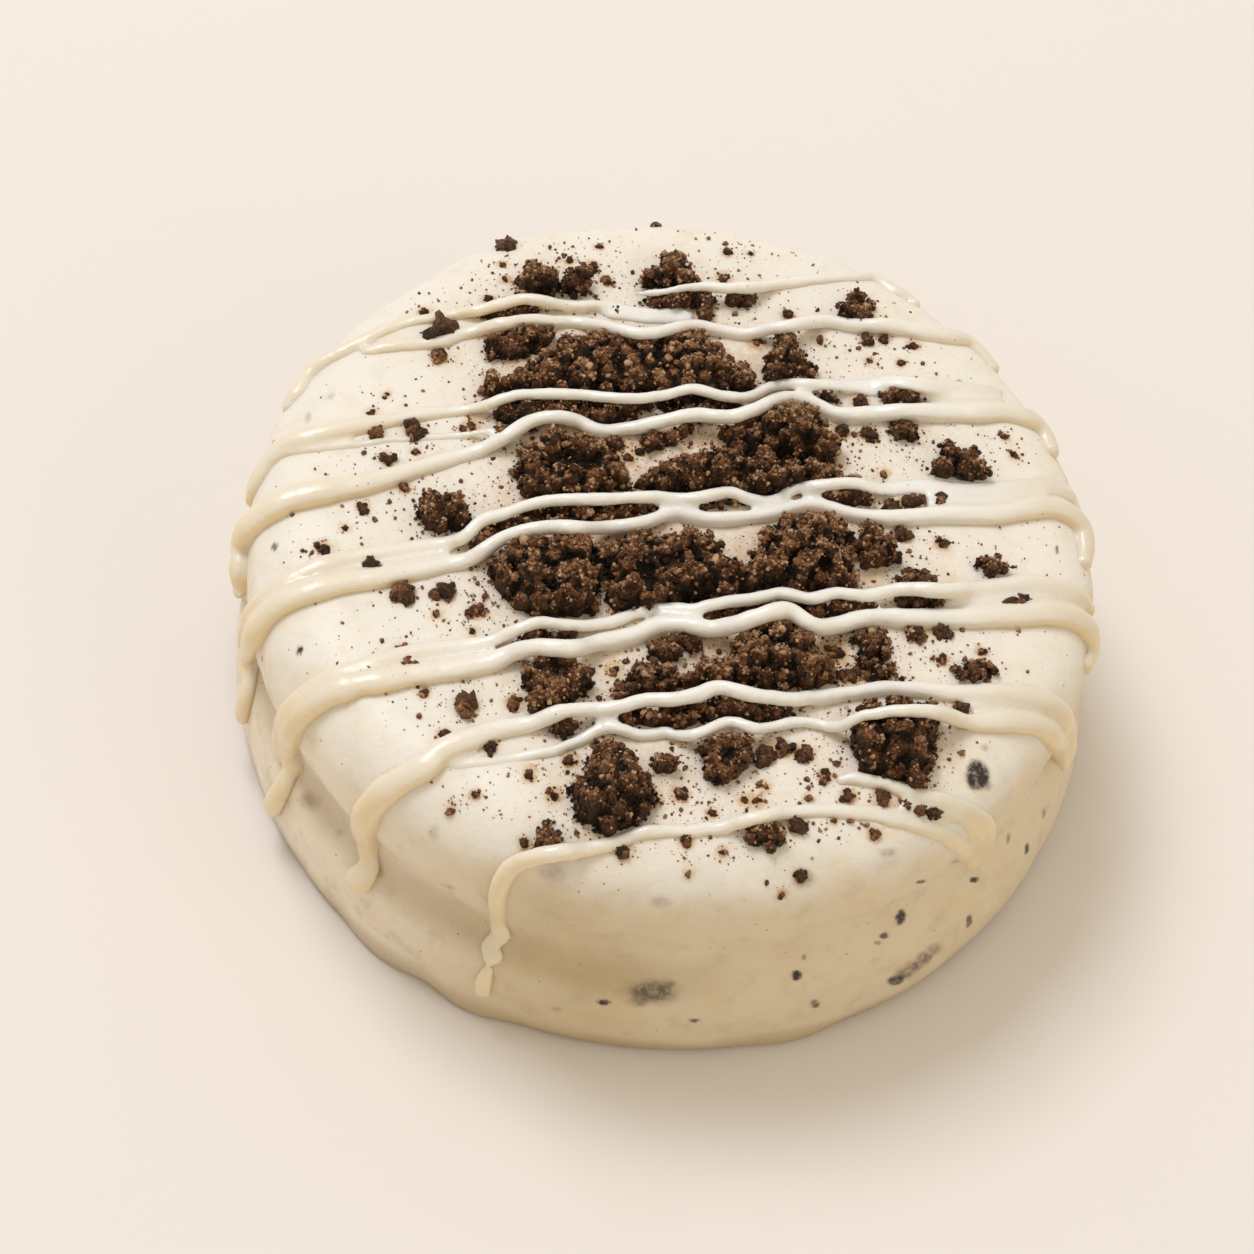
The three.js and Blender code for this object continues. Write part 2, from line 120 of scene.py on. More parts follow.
# The main crumb heaps, from the far edge to the near edge: height in millimetres, look, and the outline that
# shows in the photo's 1254 frame, in pixels.
HEAPS = (
    (1.3, "dark", (
        (514, 288), (524, 275), (531, 263), (540, 262), (552, 271), (558, 281), (552, 297), (525, 299))),
    (1.3, "dark", (
        (556, 284), (562, 273), (570, 264), (580, 266), (590, 279), (593, 291), (584, 299), (558, 300))),
    (1.7, "grainy", (
        (636, 288), (643, 273), (652, 274), (659, 270), (664, 253), (673, 250), (684, 260), (694, 273),
        (702, 286), (680, 292), (650, 292))),
    (0.6, "grainy", (
        (637, 301), (660, 292), (711, 290), (716, 301), (713, 318), (701, 320), (694, 310), (666, 306))),
    (0.6, "dark", (
        (723, 300), (731, 293), (743, 292), (756, 296), (761, 303), (750, 311), (735, 307))),
    (1.0, "dark", (
        (833, 311), (840, 309), (848, 295), (857, 294), (869, 305), (881, 320), (865, 327), (848, 325))),
    (0.4, "dark", (
        (473, 322), (482, 313), (509, 307), (537, 304), (548, 312), (511, 321), (478, 325))),
    (1.0, "dark", (
        (481, 350), (488, 340), (511, 330), (537, 325), (558, 330), (554, 342), (537, 354), (523, 367),
        (507, 361), (490, 362))),
    (1.5, "tan", (
        (476, 388), (501, 386), (523, 379), (531, 364), (546, 356), (562, 342), (584, 336), (601, 330),
        (625, 330), (646, 338), (664, 330), (686, 328), (705, 334), (713, 348), (731, 360), (754, 379),
        (758, 392), (720, 400), (660, 402), (600, 402), (540, 400), (486, 404))),
    (0.8, "dark", (
        (484, 421), (500, 404), (540, 398), (600, 397), (650, 400), (662, 406), (640, 418), (604, 426),
        (560, 422), (515, 428))),
    (0.8, "dark", (
        (664, 412), (682, 394), (720, 390), (744, 400), (740, 414), (700, 418))),
    (0.5, "dark", (
        (491, 438), (501, 426), (511, 421), (518, 426), (503, 441))),
    (1.6, "dark", (
        (761, 383), (765, 367), (771, 352), (774, 340), (780, 330), (791, 330), (799, 338), (798, 350),
        (808, 362), (820, 380), (812, 390), (768, 390))),
    (0.6, "dark", (
        (806, 395), (828, 390), (840, 397), (842, 406), (822, 404))),
    (0.8, "smooth", (
        (877, 397), (881, 389), (893, 387), (910, 385), (920, 389), (927, 397), (922, 406), (903, 409),
        (885, 406))),
    (0.8, "smooth", (
        (887, 424), (899, 420), (912, 422), (917, 430), (919, 438), (908, 446), (893, 444), (889, 434))),
    (1.0, "dark", (
        (928, 471), (936, 460), (944, 461), (946, 446), (952, 443), (961, 450), (973, 458), (985, 475),
        (973, 483), (959, 481), (954, 469), (944, 476), (934, 476))),
    (1.4, "grainy", (
        (511, 468), (520, 452), (535, 440), (562, 434), (592, 436), (613, 446), (621, 462), (628, 477),
        (627, 489), (603, 496), (584, 500), (552, 500), (531, 502), (523, 496), (527, 481), (511, 476))),
    (0.8, "dark", (
        (640, 448), (652, 434), (666, 431), (680, 428), (690, 426), (688, 436), (676, 445), (662, 452))),
    (1.4, "grainy", (
        (627, 491), (641, 481), (645, 471), (656, 471), (662, 467), (674, 458), (686, 460), (694, 452),
        (711, 450), (725, 444), (745, 444), (766, 458), (790, 466), (836, 470), (859, 479), (830, 488),
        (790, 494), (760, 500), (705, 496), (660, 496))),
    (2.3, "dusted", (
        (722, 428), (740, 420), (761, 410), (785, 402), (812, 404), (828, 416), (832, 434), (841, 450),
        (838, 462), (822, 464), (801, 470), (771, 468), (752, 452), (730, 446))),
    (1.5, "dark", (
        (414, 508), (418, 494), (428, 489), (440, 491), (450, 489), (461, 495), (470, 505), (475, 516),
        (466, 529), (454, 535), (440, 535), (428, 531), (418, 522))),
    (0.7, "dark", (
        (466, 546), (482, 530), (507, 518), (535, 508), (566, 502), (610, 503), (648, 502), (658, 509),
        (645, 520), (603, 525), (560, 526), (520, 536), (490, 546), (470, 552))),
    (0.5, "dark", (
        (680, 503), (701, 500), (737, 498), (748, 505), (735, 509), (694, 511))),
    (0.8, "dark", (
        (812, 499), (826, 490), (861, 487), (873, 497), (876, 506), (852, 509), (832, 505))),
    (2.3, "dusted", (
        (484, 566), (505, 546), (540, 536), (572, 530), (596, 540), (597, 566), (604, 583), (595, 604),
        (584, 619), (560, 622), (531, 618), (517, 606), (501, 593), (495, 580))),
    (2.0, "grainy", (
        (588, 548), (610, 536), (640, 532), (664, 534), (700, 536), (718, 545), (725, 558), (745, 569),
        (760, 568), (774, 584), (788, 592), (735, 600), (699, 606), (666, 606), (643, 612), (617, 615),
        (604, 604), (602, 590), (613, 580), (608, 566), (594, 572))),
    (2.8, "dusted", (
        (655, 566), (664, 548), (674, 531), (690, 522), (704, 528), (716, 542), (724, 560), (706, 576),
        (676, 580))),
    (2.3, "tan", (
        (742, 566), (759, 549), (757, 536), (765, 523), (791, 515), (828, 516), (848, 522), (852, 532),
        (845, 544), (849, 556), (845, 569), (854, 580), (863, 592), (822, 596), (780, 596), (745, 600),
        (738, 584))),
    (1.3, "grainy", (
        (850, 554), (854, 538), (863, 524), (880, 524), (886, 538), (895, 549), (899, 559), (908, 557),
        (901, 565), (885, 567), (873, 569), (861, 563))),
    (0.6, "dark", (
        (971, 559), (989, 556), (995, 552), (1002, 555), (1001, 563), (1014, 565), (1019, 573), (1003, 574),
        (993, 580), (983, 571), (975, 565))),
    (0.8, "dark", (
        (895, 585), (903, 575), (918, 573), (926, 569), (934, 573), (942, 585), (938, 604), (925, 612),
        (905, 611), (896, 602))),
    (0.7, "dark", (
        (690, 617), (725, 606), (760, 600), (800, 598), (850, 600), (876, 601), (873, 613), (848, 618),
        (820, 623), (800, 616), (760, 618), (725, 626), (700, 628))),
    (0.5, "dark", (
        (505, 646), (531, 631), (562, 628), (580, 635), (562, 640), (531, 644))),
    (1.5, "grainy", (
        (520, 677), (526, 665), (537, 656), (562, 654), (578, 660), (588, 675), (584, 693), (570, 709),
        (548, 716), (533, 716), (528, 698))),
    (1.0, "grainy", (
        (607, 696), (617, 683), (631, 675), (633, 661), (643, 658), (658, 662), (666, 674), (678, 680),
        (676, 694), (639, 700), (613, 702))),
    (0.9, "dark", (
        (646, 652), (650, 638), (664, 632), (688, 634), (704, 640), (697, 655), (684, 650), (674, 663),
        (660, 662))),
    (2.0, "tan", (
        (677, 690), (686, 679), (699, 667), (719, 661), (731, 651), (741, 634), (758, 622), (778, 616),
        (795, 618), (808, 627), (816, 636), (819, 651), (828, 656), (840, 668), (836, 684), (812, 692),
        (771, 692), (730, 690), (700, 693))),
    (0.9, "dark", (
        (850, 640), (863, 628), (875, 631), (885, 637), (893, 644), (889, 661), (878, 664), (886, 674),
        (908, 680), (904, 686), (883, 684), (871, 672), (859, 657))),
    (0.7, "grainy", (
        (951, 673), (957, 666), (965, 669), (962, 657), (975, 658), (993, 661), (1002, 671), (997, 678),
        (985, 674), (983, 682), (969, 684), (957, 681))),
    (0.8, "dark", (
        (614, 718), (643, 708), (694, 702), (735, 697), (766, 702), (792, 704), (796, 714), (781, 721),
        (756, 726), (725, 720), (684, 730), (654, 731), (623, 725))),
    (0.6, "smooth", (
        (541, 738), (552, 725), (572, 719), (587, 720), (577, 735), (558, 742))),
    (1.3, "grainy", (
        (699, 763), (704, 742), (722, 732), (746, 738), (750, 752), (744, 765), (743, 777), (719, 787),
        (705, 777))),
    (0.8, "smooth", (
        (648, 763), (654, 752), (666, 748), (674, 763), (671, 774), (660, 777))),
    (1.9, "dark", (
        (850, 742), (854, 722), (872, 704), (910, 698), (938, 702), (942, 724), (935, 738), (934, 761),
        (929, 775), (931, 791), (916, 790), (908, 783), (887, 778), (863, 774), (854, 765))),
    (2.7, "dark", (
        (572, 798), (576, 779), (582, 760), (592, 745), (609, 738), (627, 748), (643, 765), (652, 781),
        (656, 796), (651, 812), (634, 827), (613, 837), (597, 835), (584, 824), (574, 814))),
    (1.1, "dark", (
        (749, 834), (757, 823), (771, 821), (784, 830), (785, 845), (766, 853), (752, 846))),
    (0.9, "smooth", (
        (535, 833), (543, 820), (549, 818), (554, 831), (560, 841), (555, 850), (546, 855), (537, 850))),
)

# The square grid that the heaps are worked out on: its cells and how far it reaches from the middle.
HEAP_CELL = 0.12
HEAP_REACH = 24.0
# A heap rises to its height over a slope of this share of it. Its far edge leans towards the camera by a
# share of the height, its edge frays in coarse and fine waves, and its top is lumpy.
HEAP_SLOPE = 0.8
HEAP_LEAN = 0.55
FRAYING = {"reach": 0.22, "coarse": 1.3, "fine": 0.6, "fine_share": 0.6}
LUMPS = {"mean": 0.86, "share": 0.24, "size": 2.0}
# Rounded nodules on the heaps, and how far their middles stand above the heap, as a share of their radius.
NODULES_PER_SQUARE_MM = 1.7
NODULE_RADII = (0.22, 0.6)
NODULE_RISE = (-0.55, 0.15)
# The dark core under the grains: where the heaps are at least this high, how far below their top it stays,
# and how deep its rim and its underside lie in the coating.
CORE = {"least": 0.12, "below": 0.06, "rim": 0.3, "underside": 0.5}
# Strands lie on the highest crumb within this distance.
STRAND_FEEL = 0.4

# Painted shade darkens the heaps in their pits, by the millimetre and within limits, on slopes that face the
# camera, up to a slope, and at their foot, up to a height. Before that all tones are lifted, and the core
# under the grains gets a little more painted shade.
PIT_SHADE = 3.6
PIT_SHADE_LIMITS = (-0.26, 0.5)
FRONT_SHADE = 0.2
FRONT_SHADE_SLOPE = 1.5
FOOT_SHADE = 0.16
FOOT_OF_HEAP = 0.6
TONE_LIFT = 0.08
CORE_SHADE = 0.04

# The brown haze on the coating: how far it reaches round the heaps, and the height below which there is none.
HAZE_REACH = 1.9
BARE_SIDE = 14.0
# Round a loose crumb the haze reaches a little farther than the crumb.
CRUMB_HAZE = {"strength": 0.8, "farther": 0.5}

# How the grains of a heap look: mean tone, spread of tone, share of tan grains and share of large grains.
GRAIN_LOOKS = {
    "dark": {"tone": 0.31, "spread": 0.25, "tan": 0.02, "large": 0.7},
    "smooth": {"tone": 0.3, "spread": 0.16, "tan": 0.0, "large": 0.3},
    "grainy": {"tone": 0.355, "spread": 0.28, "tan": 0.04, "large": 1.0},
    "tan": {"tone": 0.4, "spread": 0.29, "tan": 0.07, "large": 1.1},
    "dusted": {"tone": 0.37, "spread": 0.27, "tan": 0.02, "large": 0.5},
}

# Grains by kind: number for each square millimetre, smallest and largest radius, fineness of the ball, how
# much lighter they are, and the share that they have of their look's spread of tone.
GRAIN_KINDS = {
    "large": {"density": 1.5, "radii": (0.14, 0.28), "ball": 2, "lighter": -0.06, "spread": 0.55},
    "medium": {"density": 6.2, "radii": (0.09, 0.16), "ball": 2, "lighter": -0.02, "spread": 1},
    "small": {"density": 14.0, "radii": (0.045, 0.1), "ball": 1, "lighter": 0.12, "spread": 1},
}
GRAIN_ROUGHNESS = 0.4
# A heap keeps its look's share of the large grains out of this, and 1 out of this of the others.
FULL_SHARE = 1.1
# Within a kind the smaller grains are the commoner ones, by this power.
SMALLER_POWER = 1.5
# How far a grain's middle stands above the heap, as a share of its radius.
GRAIN_RISE = (-0.5, 0.35)
# The slow change of tone over the heaps, and the tones of the pale grains.
TONE_DRIFT = {"amount": 0.1, "size": 1.6, "seed": 31}
TAN_TONES = (0.7, 1.0)
# How far a grain stays off the coating and off the strands, as shares of its radius.
CLEARANCE = {"coating": -0.5, "strand": 0.2}

# Single crumbs on the coating, as pixel across, pixel down and width in pixels in the photo's 1254 frame.
PEBBLES = (
    (508, 245, 28), (655, 222, 20), (600, 246, 10), (502, 263, 7), (505, 278, 7), (593, 266, 13),
    (607, 281, 14), (488, 298, 9), (424, 311, 12), (617, 313, 14), (728, 252, 13), (751, 253, 7),
    (725, 277, 13), (570, 259, 9), (704, 312, 16), (788, 316, 15), (757, 342, 12), (820, 340, 12),
    (868, 340, 16), (884, 338, 14), (914, 345, 15), (869, 361, 10), (901, 362, 9), (861, 400, 19),
    (842, 430, 18), (871, 434, 19), (492, 379, 13), (372, 411, 10), (387, 393, 6), (416, 451, 8),
    (470, 424, 12), (465, 430, 10), (403, 486, 14), (352, 488, 12), (361, 507, 14), (345, 527, 8),
    (325, 549, 15), (319, 545, 9), (481, 609, 12), (473, 630, 8), (401, 647, 9), (441, 330, 34),
    (438, 356, 20), (378, 433, 20), (412, 429, 28), (388, 459, 18), (371, 565, 26), (404, 591, 28),
    (443, 592, 24), (372, 671, 20), (386, 668, 12), (409, 663, 18), (425, 692, 12), (514, 704, 17),
    (444, 732, 13), (466, 706, 30), (474, 795, 11), (450, 811, 9), (490, 748, 18), (570, 758, 12),
    (529, 777, 9), (554, 794, 12), (524, 845, 11), (622, 853, 18), (613, 669, 10), (681, 794, 15),
    (712, 812, 8), (810, 798, 9), (849, 798, 17), (882, 800, 18), (908, 806, 14), (920, 809, 18),
    (933, 812, 18), (874, 834, 15), (826, 777, 15), (757, 802, 12), (766, 785, 7), (797, 825, 22),
    (834, 820, 6), (686, 839, 14), (723, 853, 10), (688, 873, 7), (801, 878, 15), (782, 895, 9),
    (765, 752, 24), (784, 748, 20), (806, 753, 20), (884, 473, 12), (893, 506, 22), (911, 502, 20),
    (920, 499, 14), (942, 500, 22), (970, 499, 10), (1011, 504, 8), (1005, 436, 8), (1014, 454, 8),
    (942, 543, 16), (903, 534, 20), (872, 526, 18), (916, 633, 24), (943, 629, 22), (942, 659, 12),
    (980, 650, 10), (850, 675, 20), (836, 652, 18), (870, 675, 18), (890, 669, 16), (1019, 603, 26),
    (962, 709, 20), (619, 446, 16), (640, 452, 12), (628, 458, 9), (474, 612, 14), (437, 613, 9),
    (545, 385, 12), (530, 770, 8), (655, 800, 9), (745, 800, 8),
)

# A loose crumb: its grains for each millimetre of half width, shares of the half width for how long and
# narrow it is, how far its grains lie off its middle, how high, how large they are, and their tones.
PEBBLE = {
    "grains": 10, "long": (0.8, 1.0), "narrow": (0.45, 0.75), "off": 0.75, "rise": 0.12, "higher": 1.6,
    "radii": (0.28, 0.62), "first_radius": 0.6, "lone_radius": 0.8,
    "tone": 0.4, "spread": 0.13, "roughness": 0.42,
}
# The fine dust: how many specks are tried, the least and the mean further distance from a crumb, the radius
# of the cookie's top that they stay on, and their sizes and tones.
DUST = {
    "specks": 14000, "least_distance": 0.35, "mean_distance": 1.2, "edge": 23.5, "tones": (0.55, 0.85),
    "least_radius": 0.025, "mean_radius": 0.03, "most_radius": 0.2, "rise": 0.2, "roughness": 0.3,
}

# Cookie bits sunk in the coating, as pixel across, pixel down, half width, half height and darkness.
SUNKEN_BITS = (
    (977, 775, 11, 14, 1.0), (987, 786, 5, 4, 0.5), (983, 747, 4, 3, 0.4), (651, 991, 24, 11, 0.65),
    (640, 1000, 12, 5, 0.5), (668, 984, 8, 5, 0.5), (900, 917, 5, 8, 0.9), (905, 973, 9, 7, 0.55),
    (914, 966, 9, 7, 0.6), (924, 959, 9, 7, 0.6), (935, 950, 9, 6, 0.45), (896, 980, 8, 6, 0.85),
    (1056, 550, 2, 4, 0.7), (921, 882, 5, 2, 0.7), (957, 861, 6, 2, 0.4), (604, 1002, 6, 3, 0.9),
    (694, 1020, 5, 2, 0.8), (796, 973, 5, 5, 0.9), (815, 1002, 4, 4, 0.7), (974, 879, 5, 3, 0.8),
    (1026, 848, 3, 6, 0.8), (969, 920, 3, 7, 0.8), (803, 878, 9, 7, 0.5), (660, 901, 9, 5, 0.3),
    (551, 872, 11, 7, 0.3), (310, 801, 9, 8, 0.35), (341, 831, 4, 3, 0.3), (381, 873, 3, 5, 0.4),
    (276, 547, 3, 4, 0.8), (299, 651, 3, 4, 0.9), (307, 418, 3, 5, 0.4), (332, 395, 3, 3, 0.4),
    (434, 832, 5, 7, 0.25), (450, 887, 4, 2, 0.4), (556, 1009, 5, 2, 0.4), (887, 852, 7, 4, 0.4),
    (884, 936, 4, 3, 0.8), (878, 942, 3, 2, 0.7), (1008, 838, 2, 5, 0.6), (1042, 812, 2, 5, 0.6),
)
# A bit darker than this has a clear edge, and the others are blurred. An edge starts and ends at these
# shares of the bit's size, and is ragged.
CLEAR_BIT = 0.65
CLEAR_EDGE = (1.3, 0.75)
BLURRED_EDGE = (1.6, 0.4)
RAGGEDNESS = 0.16

# The drizzle: widths at the left, middle and right in pixels, then the middle line, read from the photo.
STRANDS = (
    ((8, 13, 20), (
        (636, 294), (660, 292), (692, 287), (749, 288), (803, 281), (851, 278), (883, 276), (899, 280),
        (909, 289), (917, 306))),
    ((22, 13, 10), (
        (286, 410), (300, 385), (316, 365), (343, 350), (395, 326), (440, 317), (488, 308), (523, 299),
        (567, 305), (599, 304), (647, 313), (679, 313), (692, 316))),
    ((16, 14, 22), (
        (363, 352), (400, 345), (440, 342), (472, 331), (504, 324), (536, 320), (591, 324), (647, 334),
        (690, 326), (740, 334), (772, 329), (803, 324), (827, 321), (851, 326), (891, 326), (924, 332),
        (956, 337), (980, 345), (992, 358), (999, 367))),
    ((22, 12, 16), (
        (249, 503), (257, 478), (273, 455), (284, 444), (332, 430), (379, 422), (427, 414), (480, 407),
        (512, 396), (536, 394), (583, 395), (631, 399), (663, 396), (692, 388), (724, 396), (748, 398),
        (772, 386), (803, 384), (867, 386), (891, 381), (924, 386), (972, 389), (1003, 393))),
    ((12, 10, 8), (
        (270, 465), (284, 454), (316, 449), (363, 444), (395, 440), (427, 438), (470, 434), (496, 430))),
    ((30, 15, 23), (
        (239, 590), (234, 574), (235, 551), (245, 530), (262, 513), (284, 500), (316, 492), (363, 484),
        (427, 465), (470, 453), (504, 439), (528, 422), (552, 417), (575, 420), (599, 431), (631, 428),
        (663, 422), (692, 415), (724, 418), (756, 409), (780, 399), (803, 399), (819, 406), (835, 414),
        (859, 415), (899, 412), (972, 413), (1003, 412), (1035, 421), (1048, 437), (1053, 453))),
    ((20, 13, 20), (
        (241, 645), (252, 610), (284, 583), (316, 567), (348, 558), (379, 553), (427, 545), (464, 538),
        (480, 522), (504, 514), (536, 503), (560, 500), (607, 499), (647, 497), (692, 499), (732, 492),
        (748, 499), (772, 502), (795, 489), (819, 486), (851, 483), (883, 489), (918, 487), (966, 491),
        (1013, 489), (1045, 486), (1069, 494), (1085, 506), (1093, 526))),
    ((26, 15, 24), (
        (249, 676), (248, 655), (254, 631), (276, 605), (316, 589), (363, 580), (395, 575), (443, 565),
        (472, 558), (496, 542), (520, 532), (552, 527), (591, 528), (615, 527), (647, 522), (671, 513),
        (708, 519), (740, 518), (772, 514), (803, 505), (819, 505), (851, 514), (886, 518), (950, 514),
        (998, 514), (1045, 506), (1070, 513), (1084, 528), (1087, 547), (1085, 565))),
    ((22, 13, 20), (
        (281, 759), (279, 737), (287, 713), (308, 693), (332, 678), (363, 667), (395, 657), (427, 650),
        (488, 642), (512, 632), (536, 623), (583, 626), (615, 621), (647, 610), (692, 609), (724, 602),
        (756, 599), (780, 593), (811, 599), (835, 593), (867, 596), (902, 589), (950, 591), (998, 586),
        (1029, 583), (1061, 588), (1082, 598), (1092, 612))),
    ((27, 18, 26), (
        (297, 768), (289, 756), (289, 732), (300, 713), (324, 695), (356, 684), (395, 678), (427, 673),
        (488, 663), (512, 653), (536, 647), (570, 649), (600, 643), (631, 636), (655, 626), (679, 624),
        (716, 629), (740, 623), (764, 615), (788, 610), (803, 620), (819, 628), (843, 624), (867, 618),
        (918, 618), (966, 618), (1013, 615), (1053, 613), (1080, 620), (1092, 635), (1093, 652),
        (1086, 668))),
    ((28, 15, 23), (
        (366, 856), (367, 845), (362, 832), (363, 819), (376, 799), (395, 784), (427, 765), (440, 751),
        (472, 738), (504, 728), (536, 722), (560, 712), (615, 708), (647, 700), (690, 697), (719, 688),
        (759, 696), (796, 699), (852, 693), (885, 688), (952, 693), (1001, 693), (1046, 701), (1062, 713),
        (1070, 735), (1067, 760))),
    ((12, 12, 22), (
        (440, 763), (472, 763), (520, 757), (552, 751), (575, 743), (599, 730), (615, 728), (639, 736),
        (663, 733), (690, 736), (729, 722), (759, 729), (799, 722), (839, 727), (859, 717), (895, 711),
        (935, 712), (968, 722), (1018, 722), (1047, 730), (1061, 748), (1065, 767))),
    ((19, 14, 18), (
        (497, 932), (497, 915), (496, 900), (501, 882), (512, 866), (531, 858), (563, 852), (610, 845),
        (643, 833), (693, 831), (726, 826), (759, 817), (809, 811), (863, 813), (896, 818), (929, 826),
        (954, 841), (967, 855), (976, 870))),
    ((14, 14, 20), (
        (838, 782), (852, 779), (885, 785), (918, 795), (952, 802), (971, 810), (987, 823), (990, 835),
        (982, 855))),
)

# Where along a strand its left, middle and right widths hold, as shares of its length.
WIDTH_PLACES = (0, 0.12, 0.33, 0.72, 0.9, 1)
WIDTH_WOBBLE = {"share": 0.07, "size": 2.2, "seed": 40}
# The last stretch of a strand narrows to this share of its width.
END_TAPER = 1.3
END_WIDTH = 0.75
# Stretches of strands that sank into the coating, by strand and pixel across, the pixels over which one
# sinks, how high it is then, as a share of its half width, and how much wider it gets.
MELTED = {3: (822, 1254), 6: (860, 1254), 11: (0, 520), 12: (870, 1254)}
MELT_RAMP = 25
MELTED_HEIGHT = 0.5
MELTED_SPREAD = 0.25
# How high a strand is as a share of its half width, and what is left of that towards the cookie's edge,
# unless the strand is raised on crumbs there. It flattens between two distances from a point right of the
# cookie's middle, and distances along the view count for a share.
STRAND_FLATNESS = 0.97
END_HEIGHT = 0.64
EDGE = {"across": 2.5, "along_share": 0.7, "start": 9, "end": 17, "raised": 0.5}
# How far strands sink into the coating and into crumbs, and how often their height on both is worked out.
STRAND_SINK = 0.2
CRUMB_PRESS = 0.15
REST_ROUNDS = 5
# How finely a strand is divided, the angles of the rings that round its ends, and the voxels that join them.
STRAND_STEP = 0.2
STRAND_SIDES = 20
CAP_ANGLES = (75, 50, 25)
DRIZZLE_VOXEL = 0.2
DRIZZLE_SMOOTHING = {"factor": 0.5, "rounds": 3}
# The flat foot that melts a strand into the coating: where it is raised at most this high over more than so
# many points, how deep the foot starts, and by shares of the strand's half width how wide and high it is.
SKIRT = {"raised": 0.12, "points": 8, "depth": 0.4, "width": 1.12, "height": 0.25}

# Low films of melted drizzle: half width in pixels, then the middle line.
FILMS = (
    (7, (
        (880, 817), (925, 829), (950, 838), (968, 856))),
    (10, (
        (905, 800), (945, 808), (970, 822), (982, 842), (979, 858))),
    (9, (
        (604, 312), (650, 318), (690, 318))),
    (9, (
        (968, 706), (1010, 706), (1050, 716))),
    (4, (
        (642, 402), (655, 412), (668, 420))),
    (8, (
        (840, 388), (905, 395), (970, 400), (1000, 402))),
    (8, (
        (930, 503), (990, 502), (1045, 497))),
    (9, (
        (935, 603), (998, 601), (1050, 598), (1080, 606))),
    (6, (
        (258, 625), (284, 594), (316, 578), (363, 568), (400, 562), (445, 553))),
    (6, (
        (288, 745), (296, 712), (316, 694), (345, 681), (395, 668), (440, 656), (485, 652))),
)
FILM_HEIGHT = 0.28

# Drips at the strand ends: pixel across, pixel down and radius in pixels down each one.
DRIPS = (
    ((252, 672, 9), (246, 696, 12), (242, 714, 12)),
    ((292, 768, 10), (281, 790, 12), (272, 806, 13)),
    ((367, 846, 9), (369, 866, 12), (357, 882, 16)),
    ((498, 920, 6), (504, 934, 8), (490, 944, 9), (494, 959, 11)),
    ((489, 968, 6), (484, 980, 9), (482, 991, 9)),
)
# The height of a drip and how far its middle is off the coating, as shares of its radius.
DRIP_HEIGHT = 0.62
DRIP_LIFT = 0.3

# The square soft lights: where they stand and how wide they are, in metres, their share of the main light's
# power and their colour.
LIGHTS = {
    "main_light": {"place": (-0.46, 0.43, 1.08), "size": 0.5, "share": 1, "color": (0.86, 0.89, 1.0)},
    "fill_light": {"place": (0.9, -0.5, 0.7), "size": 0.8, "share": 0.19, "color": (1.0, 0.88, 0.7)},
}
SKY_COLOR = (1.0, 0.93, 0.79, 1)
FLOOR_HALF_WIDTH = 2.0


def paint(red, green, blue):
    """A linear colour from its 0 to 255 values on a screen."""
    parts = []
    for part in (red, green, blue):
        share = part / 255
        parts.append(share / 12.92 if share <= 0.04045 else ((share + 0.055) / 1.055) ** 2.4)
    return (*parts, 1.0)


def bell(distance):
    """1 at 0, falling smoothly to nothing at 1."""
    inside = np.clip(1 - distance * distance, 0, None)
    return inside * inside


def ease(value, low, high):
    """0 below low and 1 above high, with a smooth rise between."""
    share = np.clip((value - low) / (high - low), 0, 1)
    return share * share * (3 - 2 * share)


def ripple(points, size, seed):
    """Smooth seeded unevenness of about a given size, mostly between -1 and 1."""
    waves = 14
    random = np.random.default_rng(seed)
    directions = random.normal(size=(waves, 3))
    directions /= np.linalg.norm(directions, axis=1)[:, None]
    turns = directions * (2 * math.pi / size * random.uniform(0.6, 1.5, waves))[:, None]
    phases = random.uniform(0, 2 * math.pi, waves)
    return np.sin(points @ turns.T + phases).mean(axis=1) * 2.4


def unit(vectors):
    """The vectors at length 1."""
    return vectors / np.maximum(np.linalg.norm(vectors, axis=-1, keepdims=True), 1e-9)


def turned_from(azimuth, middle):
    """How far an azimuth is turned from a middle one, from -180 to 180 degrees."""
    return (azimuth - middle + 180) % 360 - 180


